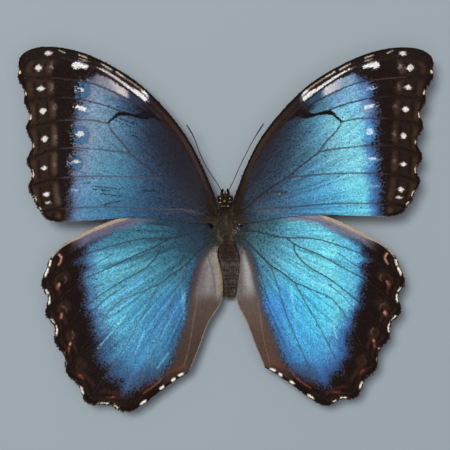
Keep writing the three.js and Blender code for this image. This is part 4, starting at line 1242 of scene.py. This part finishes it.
def fringe_colours(wing, v, x, y, outer):
    """The wing's own colours just outside the margin; beside an inner fold pale brown, dark beside the
    abdomen as painted shade cast by the abdomen, and golden on the left."""
    if outer:
        out_x, out_y = wing.outward(v)
        return marked(wing, x + 0.25 * out_x, y + 0.25 * out_y, 1)[0]
    # painted shade: near the abdomen the fringe is dark where the abdomen shades it
    beside_body = fade(-21, -15, y)[:, None]
    golden = (fade(-8, -11, y) * (wing.side < 0))[:, None]
    beside = linear(rgb("#4c433d")) * (1 - golden) + linear(rgb("#7c6a4c")) * golden
    return linear(rgb("#8b7e73")) * (1 - beside_body) + beside * beside_body


def make_fringe(wing):
    """Hair scales along the outer margin, cream in its notches; on a hindwing also
    pale ones along the inner fold."""
    steps, start = 400, 0.03
    margin = wing.plan(np.full(steps, wing.tip), np.linspace(0, 1, steps))
    inner = wing.plan(np.linspace(start, wing.tip, steps), np.full(steps, 1.0))
    columns = []
    for (ex, ey), outer in [(margin, True)] + ([] if wing.fore else [(inner, False)]):
        run = np.r_[0, np.cumsum(np.hypot(np.diff(ex), np.diff(ey)))]
        count = int(run[-1] / (0.026 if outer else 0.034))
        s = np.interp(rng.uniform(0, run[-1], count), run, np.linspace(0, 1, steps))
        u = np.full(count, wing.tip - 0.004) if outer else start + s * (wing.tip - start)
        v = np.clip(s, 0.004, 0.996) if outer else np.full(count, 0.994)
        here, along, normal, x, y = wing.at(u, v)
        behind = unit(wing.spot(*wing.plan(u, v)) - wing.spot(*wing.plan(u, v - 0.01)))
        way = along if outer else unit(behind + 0.7 * along)
        sag = rng.uniform(-0.12, 0.12, count)[:, None]
        root = here + normal * sag * 0.5
        way = unit(way + normal * sag + np.cross(normal, way) * rng.normal(0, 0.1, count)[:, None])
        long = (0.46 if outer else 0.4) * rng.uniform(0.88, 1.05, count)
        place = np.stack([s, rng.uniform(0.1, 0.9, count)], -1)
        colour = fringe_colours(wing, v, x, y, outer)
        tint = colour * rng.normal(1, 0.12, (count, 1)).clip(0.6, 1.4)
        columns.append((root, way, normal, long, place, tint))
    root, way, up, long, place, tint = (np.concatenate(column) for column in zip(*columns))
    plant_scales(f"{wing.node}_fringe", root, way, up, (0.085, long, 0.03), place.T,
                 tint=tint, blue=np.zeros(len(tint)))


def make_veins(wing):
    """Every vein a tapering tube along its line, standing proud of the scales on both faces, and
    ending at the sheet's edge."""
    share, one = np.linspace(0, 1, 120), np.ones(120)
    rim = [wing.plan(wing.tip * one, share), wing.plan(np.linspace(wing.tip, 0, 120), one),
           wing.plan(np.linspace(0, wing.tip, 120), 0 * one)]
    rim = np.concatenate([np.stack(part, -1) for part in rim])
    rings, sides = 60, 8
    parts, tints = [], []
    for points, first, last in VEINS[wing.kind].values():
        points = np.array(points, float)
        points[:, 1] = 2 * points[:, 1] - wing.drawn(*points.T)
        line = even_curve(points, np.linspace(0, 1, 200))
        room = inside(line[:, 0], line[:, 1], rim)
        out = np.flatnonzero(room[100:] < 0.12)
        end = (100 + out[0]) / 199 if len(out) else 1.0
        line = even_curve(points, np.linspace(0, end, rings))
        radius = np.linspace(first, last, rings) * 0.33
        middle = wing.spot(line[:, 0], line[:, 1])
        part = tube(middle, radius, sides, (0.17 + 0.5 * radius) / radius)
        parts.append(part)
        upper, lower = (marked(wing, line[:, 0], line[:, 1], face, 0.0)[0] for face in (1, -1))
        upper = upper * (0.55 + 0.45 * fade(0.012, 0.05, upper.max(1)))[:, None]
        ring = np.r_[0, np.arange(rings), rings - 1].repeat(sides)
        below = part[0][:, 2] < middle[ring, 2] - 1e-4
        tints.append(np.where(below[:, None], 0.8 * lower[ring], upper[ring]))
    points, faces = joined(parts)
    piece = new_mesh(f"{wing.node}_veins", points, faces)
    give_colour(piece, "tint", np.vstack(tints))
    rides(piece, VEIN, "wing")


for wing in WINGS:
    make_membrane(wing)
    make_veins(wing)
    make_fringe(wing)
    for coat in COATS:
        make_scales(wing, *coat)


# ---------------- body

# The skin's ovals from the abdomen's tip to the brow: y, middle x, middle z, half width, half height.
# They lie inside the solids by the depth of the hair.
BODY_OVALS = [
    (-19.8, 0.66, 4.0, 0.15, 0.15), (-19.5, 0.73, 4.05, 0.85, 0.75), (-18.5, 0.95, 4.15, 1.55, 1.35),
    (-16.8, 1.1, 4.4, 1.92, 1.7), (-14, 1.25, 4.8, 2.27, 1.9), (-9, 0.9, 5.3, 2.7, 2.1),
    (-5.4, 0.3, 6.0, 2.35, 2.1), (-3.6, 0.08, 6.6, 1.85, 1.9), (-2.7, 0, 6.95, 1.5, 1.6),
    (-1.6, 0, 7.1, 2.1, 2.4), (0, 0, 7.0, 2.55, 2.95), (2.0, 0, 6.95, 2.7, 3.05),
    (4.0, -0.05, 7.0, 2.35, 2.75), (5.5, -0.15, 7.1, 1.65, 2.05), (6.3, -0.22, 7.15, 1.0, 1.3),
    (6.7, -0.25, 7.2, 0.95, 1.25), (7.2, -0.25, 7.22, 1.3, 1.6), (8.2, -0.25, 7.25, 1.45, 1.8),
    (9.2, -0.25, 7.1, 1.18, 1.52), (9.75, -0.25, 7.0, 0.7, 0.95), (9.92, -0.25, 6.95, 0.12, 0.15),
]
RING_ENDS = np.array([-18.6, -16.2, -13.7, -11.3, -8.7, -6.0, -4.2])  # where the abdomen's rings meet


def body_surface(t, turn):
    """The skin over t (tail 0 to brow 1) and turn (0 on top, going round by the right side).

    Ovals follow the body's line; grooves part the abdomen's rings and the chest's plates, and
    swellings make the shield, the hind shield, the shoulder caps and the brow."""
    y, x0, z0, wide, high = np.moveaxis(curve(BODY_OVALS, t), -1, 0)
    s, c = np.sin(turn), np.cos(turn)
    x, z = x0 + wide * s, z0 + high * c

    def swelling(centre, width, height):
        return height * hump(*((value - at) / w for value, at, w in zip((x, y, z), centre, width)))

    rings = np.abs(y[..., None] - RING_ENDS).min(-1)
    top = np.maximum(c, 0)
    plate_gap = (np.abs(x) - 1.35 - 0.08 * y) / 0.16
    grow = -0.13 * hump(rings / 0.16) * (y < -3.4)
    grow = grow - 0.16 * hump(np.abs(x) / 0.14) * top * fade(-0.6, 0.4, y) * fade(5.4, 4.2, y)
    grow = grow - 0.22 * hump((y + 0.75 + 0.22 * x**2) / 0.22) * top
    grow = grow - 0.14 * hump(plate_gap) * top * fade(-0.4, 0.6, y) * fade(5.2, 4, y)
    grow = grow + swelling((0, -1.75, 9.4), (1.0, 0.62, 1.2), 0.42)
    for side in (1, -1):
        grow = grow + swelling((side * 2.0, 4.3, 8.6), (0.7, 1.0, 0.9), 0.28)
        grow = grow + swelling((side * 2.5, 1.4, 7.6), (0.6, 1.7, 0.8), 0.22)
        grow = grow + swelling((side * 2.0, 1.0, 4.9), (1.1, 1.5, 1.0), 0.25)
    grow = grow * (wide > 0.2)
    return np.stack([x + grow * s, y, z + grow * c], -1) + FRAME_SHIFT


def body_frame(t, turn):
    """Place, backward direction (head to tail) and outward normal of each (t, turn)."""
    here = body_surface(t, turn)
    back = unit(body_surface(t - STEP, turn) - body_surface(t + STEP, turn))
    side = body_surface(t, turn + 0.02) - body_surface(t, turn - 0.02)
    normal = unit(np.cross(side, back))
    oval = curve(BODY_OVALS, t)
    out = here - np.stack([oval[..., 1], here[..., 1], oval[..., 2]], -1)
    normal *= np.sign((normal * out).sum(-1, keepdims=True) + 1e-9)
    return here, back, normal


BODY_RUN = np.linspace(0, 1, 2000)
BODY_RUN_Y = curve(BODY_OVALS, BODY_RUN)[:, 0]


def skin_at(y):
    """How far along the skin (tail 0 to brow 1) each y lies."""
    return np.interp(y, BODY_RUN_Y, BODY_RUN)


def flank_gap(place):
    """How far to the side of the body's own middle a place lies, as a share of its half width."""
    y = place[..., 1] - FRAME_SHIFT[1]
    table = np.array(BODY_OVALS)
    middle, wide = np.interp(y, table[:, 0], table[:, 1]), np.interp(y, table[:, 0], table[:, 3])
    return np.abs(place[..., 0] - middle) / wide


# The body's ground colours from tail to brow
BODY_TONES = (
    (-20, "#57483a"), (-18, "#433934"), (-15, "#4a423f"), (-12, "#50463f"), (-10, "#574c47"),
    (-8, "#3f332e"), (-6, "#33231b"), (-4, "#3d271c"), (-2.6, "#2e2721"), (-1, "#383129"),
    (1.5, "#362d26"), (4.5, "#271d17"), (6.4, "#1c130e"), (8, "#17100c"), (10, "#22140d"),
)
PALE_DOTS = (  # x, y, size and colour of the pale dots on the head and collar
    (-2.25, 7.4, 0.34, "#c9ab88"), (-2.35, 6.55, 0.3, "#c9ab88"), (-2.4, 5.2, 0.3, "#b09a80"),
    (-1.8, 8.5, 0.22, "#c9b48c"), (-1.85, 8.0, 0.2, "#c9b48c"), (0.95, 8.05, 0.24, "#d2bf9c"),
    (1.5, 7.5, 0.3, "#d2bf9c"), (-0.45, 7.9, 0.26, "#b8904c"), (-0.2, 9.3, 0.22, "#a8723c"),
    (-1.7, 6.5, 0.13, "#c8b090"), (-1.25, 6.6, 0.12, "#c8b090"), (-0.85, 6.6, 0.13, "#c8b090"),
    (-0.4, 6.6, 0.1, "#c8b090"), (0.45, 6.6, 0.14, "#c8b090"), (1.1, 6.5, 0.12, "#c8b090"),
)


def body_tint(place):
    """sRGB of the body's hair: near-black head and chest with a bronze cast, a rust-brown front of
    the abdomen, grey-brown rings with pale hind edges, a paler belly and gold hairs at the tail."""
    x, y, z = np.moveaxis(place - FRAME_SHIFT, -1, 0)
    ys, tones = zip(*BODY_TONES)
    table = np.array([rgb(code) for code in tones])
    out = np.stack([np.interp(y, ys, table[:, k]) for k in range(3)], -1)

    def add(code, amount):
        nonlocal out
        out = out + (rgb(code) - out) * np.clip(amount, 0, 1)[..., None]

    rings = np.abs(y[..., None] - RING_ENDS - 0.25).min(-1)
    add("#54473f", 0.4 * hump(rings / 0.2) * (y < -3))
    add("#15100d", 0.5 * hump((rings - 0.45) / 0.2) * (y < -3))
    add("#54402e", 0.4 * hump((np.abs(x + 0.2) - 1.9) / 0.45) * fade(-3, -1, y) * fade(4, 2, y))
    add("#7a6040", 0.8 * fade(-18.6, -19.5, y))
    add("#8a7458", 0.6 * fade(0.6, 1.2, flank_gap(place)) * fade(-8, -14, y) * (x < 0.4))
    add("#8b7866", 0.75 * fade(4.6, 3.2, z) * (y < -3) + 0.65 * fade(5.6, 4.4, z) * (y > -3))
    for sx, sy, size, code in PALE_DOTS:
        gap = np.hypot(x - sx, y - sy)
        add(code, 0.95 * fade(1.25 * size, 0.7 * size, gap) * (z > 7))
    add("#5a3a1e", 0.6 * fade(0.5, 0.2, np.abs(x + 0.25)) * fade(9, 9.5, y))
    add("#45402f", 0.4 * hump((y - 2.2) / 2.4) * hump((x + 0.2) / 0.9) * (z > 8))
    hind_shield = np.abs(y + 2.25 - 0.42 * np.abs(x + 0.1))
    add("#6a6358", 0.55 * fade(0.22, 0.08, hind_shield) * (np.abs(x) < 1.5) * (z > 8))
    add("#0c0907", 0.9 * fade(0.28, 0.16, np.hypot(x + 0.05, y - 0.5)) * (z > 8))
    return out


def make_body_skin(rows=420, columns=96):
    """One seamless surface from the tail to the brow; the first and last rows close to a point."""
    t = np.linspace(0, 1, rows)
    turn = np.linspace(0, 2 * np.pi, columns, endpoint=False)
    points = body_surface(*np.meshgrid(t, turn, indexing="ij"))
    points[0] = points[0].mean(0)
    points[-1] = points[-1].mean(0)
    piece = new_mesh("body_skin", points.reshape(-1, 3), grid_faces(rows, columns, wrap=True))
    tinted(piece, body_tint(points.reshape(-1, 3)) * 0.8)
    rides(piece, CUTICLE, "body", "head", "thorax", "abdomen")


def hair_coat(name, t, turn, length, width, lift, lean, tint):
    """Hairs planted on the skin at (t, turn). They lie backwards and rise by the share lift; lean
    tilts each one to its own side by that many radians."""
    here, back, normal = body_frame(t, turn)
    side = np.cross(normal, back)
    way = unit(back * (1 - lift)[:, None] + normal * lift[:, None] + side * lean[:, None])
    up = unit(np.cross(side, way))
    up *= np.sign((up * normal).sum(-1, keepdims=True))
    plant_hairs(name, "body", here - normal * 0.03, way, up, (width, length, width * 0.8),
                (t, (turn / (2 * np.pi)) % 1), tint=tint)


def make_body_hair():
    """Long hair on the chest, short on the head and abdomen, and a brush at the tail."""
    # name, count, from y, to y, length, width, how far it stands up
    for name, count, low, high, long, wide, rise in (
        ("abdomen_hair", 10500, -19.7, -2.8, 0.6, 0.15, 0.24),
        ("thorax_hair", 9000, -2.9, 6.4, 0.9, 0.08, 0.24),
        ("head_hair", 5200, 6.1, 9.9, 0.42, 0.07, 0.42),
    ):
        t = skin_at(rng.uniform(low, high, count))
        turn = rng.uniform(0, 2 * np.pi, count)
        here, _, _ = body_frame(t, turn)
        place = here - FRAME_SHIFT
        keep = np.ones(count, bool)
        for side in (1, -1):
            middle = np.array([MIDLINE_X + side * EYE_OUT, *EYE_CENTRE])
            keep &= (((place - middle) / (np.array(EYE_RADII) * 1.02)) ** 2).sum(-1) > 1
        if name == "thorax_hair":
            bald = (place[:, 2] > 8.6) & (np.abs(place[:, 0]) < 1.9) & (place[:, 1] < 5.4)
            keep &= ~(bald & (rng.random(count) < 0.45))
        t, turn, place = t[keep], turn[keep], place[keep]
        count = len(t)
        tail = fade(-18.6, -19.5, place[:, 1])
        under = fade(6.2, 5.0, place[:, 2]) * (place[:, 1] > -3)
        length = long * rng.uniform(0.6, 1.25, count) * (1 - 0.25 * tail + 0.35 * under)
        lift = rise * rng.uniform(0.4, 1.3, count) * (1 - 0.4 * tail)
        tint = body_tint(place + FRAME_SHIFT) * rng.normal(1.0, 0.26, (count, 1)).clip(0.5, 1.7)
        if name == "abdomen_hair":
            tint = tint * (1 + 0.3 * grain(place[:, 1] * 1.6, turn * 3.0, 95))[:, None]
        gold = (rng.random(count) < (0.012 if name == "abdomen_hair" else 0.05))[:, None]
        tint = np.where(gold, tint * 0.5 + rgb("#a07a48") * 0.5, tint)
        width, lean = wide * rng.uniform(0.8, 1.3, count), rng.normal(0, 0.22, count)
        hair_coat(name, t, turn, length, width, lift, lean, tint)


def make_shoulder_tufts():
    """Long loose hair down both sides of the chest: it hides the joints between wings and body."""
    count = 2600
    by_forewing = rng.random(count) < 0.65
    y = np.where(by_forewing, rng.normal(3.0, 1.3, count), rng.normal(-1.6, 0.9, count)).clip(-3.2, 5.6)
    side = np.where(rng.random(count) < 0.5, 1, -1)
    turn = side * rng.uniform(0.75, 1.45, count)
    clump = grain(y * 1.7 + 20 * side, turn * 3.0, 91)
    over_joint = hump((y - 3.0) / 1.4)
    length = (1.2 + 0.75 * clump + 0.7 * over_joint) * rng.uniform(0.75, 1.2, count)
    shade = (1 + 0.45 * clump + rng.normal(0, 0.18, count)).clip(0.45, 1.7)[:, None]
    tint = np.where((rng.random(count) < 0.18)[:, None], rgb("#705c42"), rgb("#382c21")) * shade
    ashen = ((y < 0.2) & (rng.random(count) < 0.3))[:, None]
    tint = np.where(ashen, rgb("#6a5c4e") * shade, tint)
    hair_coat("shoulder_tufts", skin_at(y), turn, length, rng.uniform(0.06, 0.1, count),
              rng.uniform(0.35, 0.7, count), rng.normal(0, 0.35, count), tint)


def make_collar_tufts():
    """Cream and rust tufts behind the eyes and on the collar."""
    parts = []
    dots = [(6.5, turn, 0.03, 2.5, 0.22, 0.12, 6, "#c9b38c") for turn in (-64, -47, -31, -14, 4, 21)]
    # y, turn from the top in degrees, spread along and round, length, rise, count, colour
    for y, turn, along, about, long, rise, count, code in (
        (7.55, -72, 0.07, 9, 0.55, 0.75, 20, "#c4aa88"), (6.6, -70, 0.05, 6, 0.45, 0.5, 8, "#a88a74"),
        (5.3, -62, 0.06, 5, 0.5, 0.4, 8, "#8a796c"), (7.75, 68, 0.08, 9, 0.45, 0.75, 18, "#c6b28e"),
        (6.8, 62, 0.08, 8, 0.5, 0.6, 10, "#94806a"), *dots, (9.25, 2, 0.1, 6, 0.5, 0.6, 22, "#7a4a26"),
    ):
        place = skin_at(y + rng.normal(0, along, count))
        around = np.radians(turn + rng.normal(0, about, count))
        parts.append((place, around, long * rng.uniform(0.75, 1.2, count), np.full(count, rise),
                      rng.normal(0, 0.2, count), rgb(code) * rng.normal(1, 0.14, (count, 1))))
    t, turn, length, lift, lean, tint = (np.concatenate(column) for column in zip(*parts))
    hair_coat("collar_tufts", t, turn, length, rng.uniform(0.07, 0.1, len(t)), lift, lean, tint)


def make_base_hair(wing):
    """Fine hair fanning out over the wing's root, olive brown on the forewing, grey-blue on the
    hindwing."""
    count = 900 if wing.fore else 650
    reach = 0.14  # share of the wing's run that it covers
    u = reach * rng.beta(1.2, 2.0, count)
    v = rng.uniform(0.03, 0.97, count)
    here, along, normal, _, y = wing.at(u, v)
    tilt, rise = rng.normal(0, 0.16, (count, 1)), rng.uniform(0.03, 0.14, (count, 1))
    way = unit(along + np.cross(normal, along) * tilt + normal * rise)
    length = rng.uniform(1.0, 2.2, count) * (1 - 3.0 * u)
    width = rng.uniform(0.05, 0.09, count)
    olive = rgb("#3b3024") + (rgb("#5c4a30") - rgb("#3b3024")) * (rng.random((count, 1)) < 0.25)
    slate = rgb("#28343a") + (rgb("#4c5650") - rgb("#28343a")) * (rng.random((count, 1)) < 0.3)
    ground = olive * (0.55 + 0.45 * fade(4.0, 1.5, y)[:, None]) if wing.fore else slate
    plant_hairs(f"{wing.node}_base_hair", "wing", here + normal * 0.12, way,
                unit(np.cross(np.cross(way, normal), way)), (width, length, 0.05), (u / reach, v),
                tint=ground * rng.normal(1, 0.2, (count, 1)).clip(0.5, 1.6))


def make_hinge_parts():
    """Small glossy plates in the wing joints, seen between the hair tufts, their pale tints painted
    highlights; and near-black matt balls beside them, painted shade in the joints' hollows.
    """
    fore, hind = WINGS[0], WINGS[2]
    # pale grey tints on the plates: painted highlights, the glints of the joints
    plates = ((3.8, 1.3, 0.24, 0.13, "#a6a29d"), (3.2, 0.2, 0.16, 0.2, "#9a9691"),
              (3.7, -0.1, 0.2, 0.12, "#8a8680"), (-3.3, 0.1, 0.1, 0.12, "#77736e"),
              (-3.5, -0.3, 0.12, 0.08, "#5f5b57"))
    # near-black balls: painted shade in the joints' hollows
    hollows = ((4.3, 0.8, 0.5, 0.3, "#0c0a09"), (-4.2, 0.9, 0.55, 0.6, "#060508"),
               (-4.9, 1.4, 0.4, 0.3, "#0c0b10"))
    for name, look, spots in (("hinge_plates", GLOSS, plates), ("hinge_hollow_shade", HOLLOW_SHADE, hollows)):
        parts, shades = [], []
        for x, y, wide, long, code in spots:
            z = (fore if y > 0.5 else hind).height(np.abs(x), y) + 0.27
            part = ball(np.array([x, y, z]) + FRAME_SHIFT, (wide, long, 0.14), 14, 20)
            parts.append(part)
            shades.append(np.tile(rgb(code), (len(part[0]), 1)))
        piece = new_mesh(name, *joined(parts))
        rides(tinted(piece, np.vstack(shades)), look, "body")


SIDES = (("right", 1), ("left", -1))
EYE_OUT, EYE_CENTRE, EYE_RADII = 1.33, (8.55, 7.35), (0.97, 1.12, 1.35)


def ball(middle, radii, rows=40, columns=56):
    """Points and faces of an ellipsoid; its poles lie along Y and are closed by crowded rings."""
    rise = np.linspace(1e-3, np.pi - 1e-3, rows)
    turn = np.linspace(0, 2 * np.pi, columns, endpoint=False)
    lat, lon = np.meshgrid(rise, turn, indexing="ij")
    shape = np.stack([np.sin(lat) * np.sin(lon), -np.cos(lat), np.sin(lat) * np.cos(lon)], -1)
    return (np.asarray(middle) + shape * radii).reshape(-1, 3), grid_faces(rows, columns, wrap=True)


def make_eyes():
    """Each eye fills the head's side; it lies just inside its solid."""
    for name, side in SIDES:
        middle = np.array([MIDLINE_X + side * EYE_OUT, *EYE_CENTRE]) + FRAME_SHIFT
        lens = new_mesh(f"eye_{name}_lens", *ball(middle, np.array(EYE_RADII) * 0.99))
        rides(lens, EYE, "eye", f"eye_{name}")


ANTENNA_RIGHT = [
    (0.75, 8.9, 8.3), (1.1, 10.9, 9.3), (2.25, 13.3, 9.9), (4.25, 17.8, 10.7), (6.25, 21.8, 11.4),
    (8.25, 25.5, 12.1), (10.75, 29.4, 12.9),
]
ANTENNA_LEFT = [
    (-0.75, 8.9, 8.3), (-1.35, 11.3, 9.3), (-3.5, 14.7, 10.1), (-5.5, 17.9, 10.8), (-7.2, 21.5, 11.5),
    (-8.7, 25.6, 12.2), (-10.75, 29.1, 12.9),
]
HEAD_SHIFT = FRAME_SHIFT + (MIDLINE_X, 0, 0)
PALP_PATH = [(0.95, 9.1, 5.7), (0.95, 10.2, 6.1), (0.72, 10.95, 7.1), (0.65, 11.15, 8.3)]


def bristles(name, slot, path, radius, count, long, wide, rise, code):
    """Short hairs over a tube: planted on its surface all round, lying towards its tip."""
    s = rng.uniform(0.02, 0.98, count)
    angle = rng.uniform(0, 2 * np.pi, count)
    middle = even_curve(path, s)
    way = unit(even_curve(path, np.minimum(s + 0.01, 1)) - even_curve(path, s - 0.01))
    first = unit(np.cross(way, np.array([0.0, 0.0, 1.0]) + 1e-3))
    second = np.cross(way, first)
    out = first * np.cos(angle)[:, None] + second * np.sin(angle)[:, None]
    thick = np.interp(s, np.linspace(0, 1, len(radius)), radius)
    lift = (rise * rng.uniform(0.5, 1.4, count))[:, None]
    lie = unit(way * (1 - lift) + out * lift + np.cross(way, out) * rng.normal(0, 0.25, (count, 1)))
    up = unit(np.cross(np.cross(lie, out), lie))
    size = (wide, long * rng.uniform(0.6, 1.3, count), wide * 0.8)
    plant_hairs(name, slot, middle + out * thick[:, None] * 0.9, lie, up, size, (s, angle / (2 * np.pi)),
                tint=rgb(code) * rng.normal(1, 0.25, (count, 1)).clip(0.5, 1.8))


def make_feeler(name, path):
    """A thin ringed rod that swells a little into a club."""
    rings, sides = 46, 10
    s = np.linspace(0, 1, rings * 8 + 1)
    saw = np.abs(np.sin(np.pi * rings * s)) ** 0.5
    radius = 0.115 + 0.09 * fade(0.72, 0.95, s) - 0.05 * fade(0.97, 1.0, s) + 0.1 * fade(0.03, 0, s)
    radius = radius * (0.82 + 0.18 * saw)
    dark, pale, rust = rgb("#1a1310"), rgb("#5d4f45"), rgb("#6a3f26")
    colour = dark + (pale - dark) * (0.5 * fade(0.5, 0.15, saw))[:, None]
    colour = colour + (rust - dark) * (0.5 * fade(0.9, 1, s))[:, None]
    colour = np.repeat(np.vstack([colour[:1], colour, colour[-1:]]), sides, 0)
    points, faces = tube(even_curve(path, s) + HEAD_SHIFT, radius, sides)
    piece = new_mesh(f"antenna_{name}_rings", points, faces)
    rides(tinted(piece, colour), LIMB, "limb", f"antenna_{name}")


def make_palp(name, side):
    """An upturned jointed snout under a coat of bristles."""
    s = np.linspace(0, 1, 60)
    radius = np.interp(s, [0, 0.4, 0.62, 0.66, 0.7, 0.93, 1], [0.30, 0.34, 0.30, 0.19, 0.2, 0.14, 0.05])
    path = np.array([(side * x, y, z) for x, y, z in PALP_PATH]) + HEAD_SHIFT
    points, faces = tube(even_curve(path, s), radius, 16)
    piece = new_mesh(f"palp_{name}_joints", points, faces)
    rides(tinted(piece, rgb("#241612")), PALP, "palp", f"palp_{name}")
    bristles(f"palp_{name}_bristles", "palp", path, radius, 560, 0.34, 0.05, 0.25, "#2a1b14")


def make_tongue():
    """The coiled tongue under the head: turns of a ridged tube, each turn inside the last."""
    turns, ridges = 3.5, 90
    a = np.linspace(0, 2 * np.pi * turns, 400)
    reach = 1.55 - 1.25 * (a / a[-1]) ** 0.9
    coil = (np.full_like(a, MIDLINE_X), 9.3 + reach * np.cos(np.pi - a), 4.4 - reach * np.sin(np.pi - a))
    coil = np.stack(coil, -1)
    lead = np.linspace(0, 1, 30)[:, None]
    start = np.array([MIDLINE_X, 7.9, 5.9])
    path = np.vstack([start * (1 - lead) + coil[0] * lead, coil[1:]]) + FRAME_SHIFT
    s = np.linspace(0, 1, len(path))
    radius = np.interp(s, [0, 0.1, 0.9, 1], [0.24, 0.2, 0.13, 0.05])
    radius = radius * (1 + 0.06 * np.sin(2 * np.pi * ridges * s))
    piece = new_mesh("proboscis_coil", *tube(path, radius, 12, 1.25))
    rides(tinted(piece, rgb("#4a2a1c")), PALP, "palp", "proboscis")


FORELEG = [(1.1, 4.6, 4.8), (1.6, 6.7, 3.7), (1.45, 8.4, 4.8)]
MIDLEG = [
    (1.0, 2.6, 4.9), (1.7, 3.0, 3.1), (6.6, 4.8, 6.7), (9.4, 7.3, 0.9), (9.8, 7.9, 0.2), (11.6, 10.8, 0.2),
]
HINDLEG = [
    (1.0, -0.4, 4.9), (1.6, -0.9, 3.2), (6.2, -3.6, 6.6), (8.6, -8.0, 0.9), (8.9, -8.7, 0.2),
    (10.1, -12.2, 0.2),
]


def leg_parts(at):
    """Tubes of one leg: hip, thigh and shank swell and narrow between joints, then five foot
    joints, each widening to its end, and a pair of claws. Soles lie just over the floor."""
    parts, shades = [], []
    flat = np.array([1, 1, 0])

    def limb(a, b, sizes, shade, bend=0.0, count=24):
        s = np.linspace(0, 1, count)
        path = a + (b - a) * s[:, None] + np.array([0, 0, bend]) * np.sin(np.pi * s)[:, None]
        radius = np.interp(s, np.linspace(0, 1, len(sizes)), sizes)
        parts.append(tube(path, radius, 12))
        shades.append(np.tile(rgb(shade), (len(parts[-1][0]), 1)))

    if len(at) == 3:
        limb(at[0], at[1], (0.42, 0.46, 0.4, 0.24), "#4a3a30", 0.1)
        limb(at[1], at[2], (0.22, 0.34, 0.36, 0.3, 0.16), "#56443a", 0.1)
        return joined(parts), np.vstack(shades)
    hip, knee, ankle = at[1], at[2], at[4] + (0, 0, 0.02)
    limb(at[0], hip, (0.6, 0.62, 0.5, 0.34), "#4a3a30")
    limb(hip, knee, (0.3, 0.44, 0.42, 0.32, 0.24), "#3c2d24", 0.12)
    limb(knee, ankle, (0.22, 0.27, 0.24, 0.2, 0.18), "#33251d", 0.1)
    toe = at[5] - (at[5] - at[4]) * 0.08
    stops = np.array([0, 0.42, 0.62, 0.77, 0.89, 1.0])
    for k in range(5):
        a, b = ankle + (toe - ankle) * stops[k], ankle + (toe - ankle) * stops[k + 1]
        a, b = a * flat + (0, 0, 0.165), b * flat + (0, 0, 0.165)
        limb(a, b, (0.1, 0.13, 0.155, 0.16, 0.1), "#2b1f19", 0, 12)
    ahead = unit(toe - ankle)
    across = np.cross(ahead, (0, 0, 1))
    for way in (1, -1):
        s = np.linspace(0, 1, 14)[:, None]
        claw = toe * flat + (0, 0, 0.16) + ahead * 0.42 * s
        claw = claw + across * way * (0.06 + 0.22 * np.sin(2.2 * s))
        claw = claw + np.array([0, 0, 1]) * (0.12 * np.sin(np.pi * s) - 0.09 * s)
        parts.append(tube(claw, np.linspace(0.055, 0.015, 14), 8))
        shades.append(np.tile(rgb("#1a110d"), (len(parts[-1][0]), 1)))
    return joined(parts), np.vstack(shades)


def make_legs():
    """Four walking legs and two short folded forelegs, with spines along the shank."""
    for name, side in SIDES:
        for kind, joints in (("foreleg", FORELEG), ("midleg", MIDLEG), ("hindleg", HINDLEG)):
            at = [np.array((side * x, y, z)) + FRAME_SHIFT for x, y, z in joints]
            (points, faces), colour = leg_parts(at)
            leg = f"{kind}_{name}"
            rides(tinted(new_mesh(f"{leg}_joints", points, faces), colour), LIMB, "limb", leg)
            if kind == "foreleg":
                thick = [0.4, 0.4, 0.32, 0.2]
                bristles(f"{leg}_hair", "limb", at, thick, 700, 0.6, 0.05, 0.3, "#6b5848")
            else:
                thick = [0.3, 0.42, 0.3, 0.22]
                bristles(f"{leg}_thigh_hair", "limb", at[1:3], thick, 500, 0.4, 0.05, 0.25, "#6a5848")
                thick = [0.2, 0.22, 0.17]
                bristles(f"{leg}_spines", "limb", at[2:5], thick, 110, 0.34, 0.045, 0.55, "#1c130f")


make_body_skin()
make_body_hair()
make_shoulder_tufts()
make_collar_tufts()
for wing in WINGS:
    make_base_hair(wing)
make_hinge_parts()
make_eyes()
for (name, side), path in zip(SIDES, (ANTENNA_RIGHT, ANTENNA_LEFT)):
    make_feeler(name, path)
    make_palp(name, side)
make_tongue()
make_legs()


# ---------------- floor, light, camera

def make_stage():
    """A plain pale floor at the level of the feet's flats, wide enough for every view."""
    edge = 1200.0
    points = edge * np.array([(-1, -1, 0), (1, -1, 0), (1, 1, 0), (-1, 1, 0)])
    floor = new_mesh("floor", points, np.array([(0, 1, 2, 3)]), smooth=False)
    made, tree = material("matt_grey_card")
    finish(tree, {"Base Color": paint("#9aa4ac"), "Roughness": 0.95, "Specular IOR Level": 0.1})
    floor.data.materials.append(made)


def area_light(name, place, aim, size, watts, colour):
    """A square soft light at place (mm) that faces aim."""
    lamp = bpy.data.lights.new(name, "AREA")
    lamp.size = size * MM
    lamp.energy = watts
    lamp.color = colour
    holder = bpy.data.objects.new(name, lamp)
    holder.location = np.asarray(place) * MM
    way = np.asarray(aim, float) - np.asarray(place, float)
    holder.rotation_euler = Vector(way).to_track_quat("-Z", "Y").to_euler()
    bpy.context.scene.collection.objects.link(holder)


make_stage()
area_light("key", (-122, 122, 700), (0, 0, 0), 185, 3.5, (1.0, 0.985, 0.96))
area_light("overhead", (10, -20, 900), (0, 0, 0), 700, 2.9, (0.96, 0.98, 1.0))
world = bpy.data.worlds.new("soft_room")
world.use_nodes = True
backdrop = world.node_tree.nodes["Background"].inputs
backdrop["Color"].default_value = paint("#e8edf2")
backdrop["Strength"].default_value = 0.152
bpy.context.scene.world = world
bpy.context.scene.view_settings.view_transform = "Standard"

FRAME_WIDTH = 126.0  # millimetres across the wing plane that the frame takes in
CAMERA_AIM = np.array([-0.28, 1.12, 11.0]) + FRAME_SHIFT
camera = bpy.data.cameras.new("camera")
camera.lens = 110
camera.sensor_width = 36
viewer = bpy.data.objects.new("camera", camera)
viewer.location = (CAMERA_AIM + (0, 0, FRAME_WIDTH * camera.lens / camera.sensor_width)) * MM
bpy.context.scene.collection.objects.link(viewer)
bpy.context.scene.camera = viewer
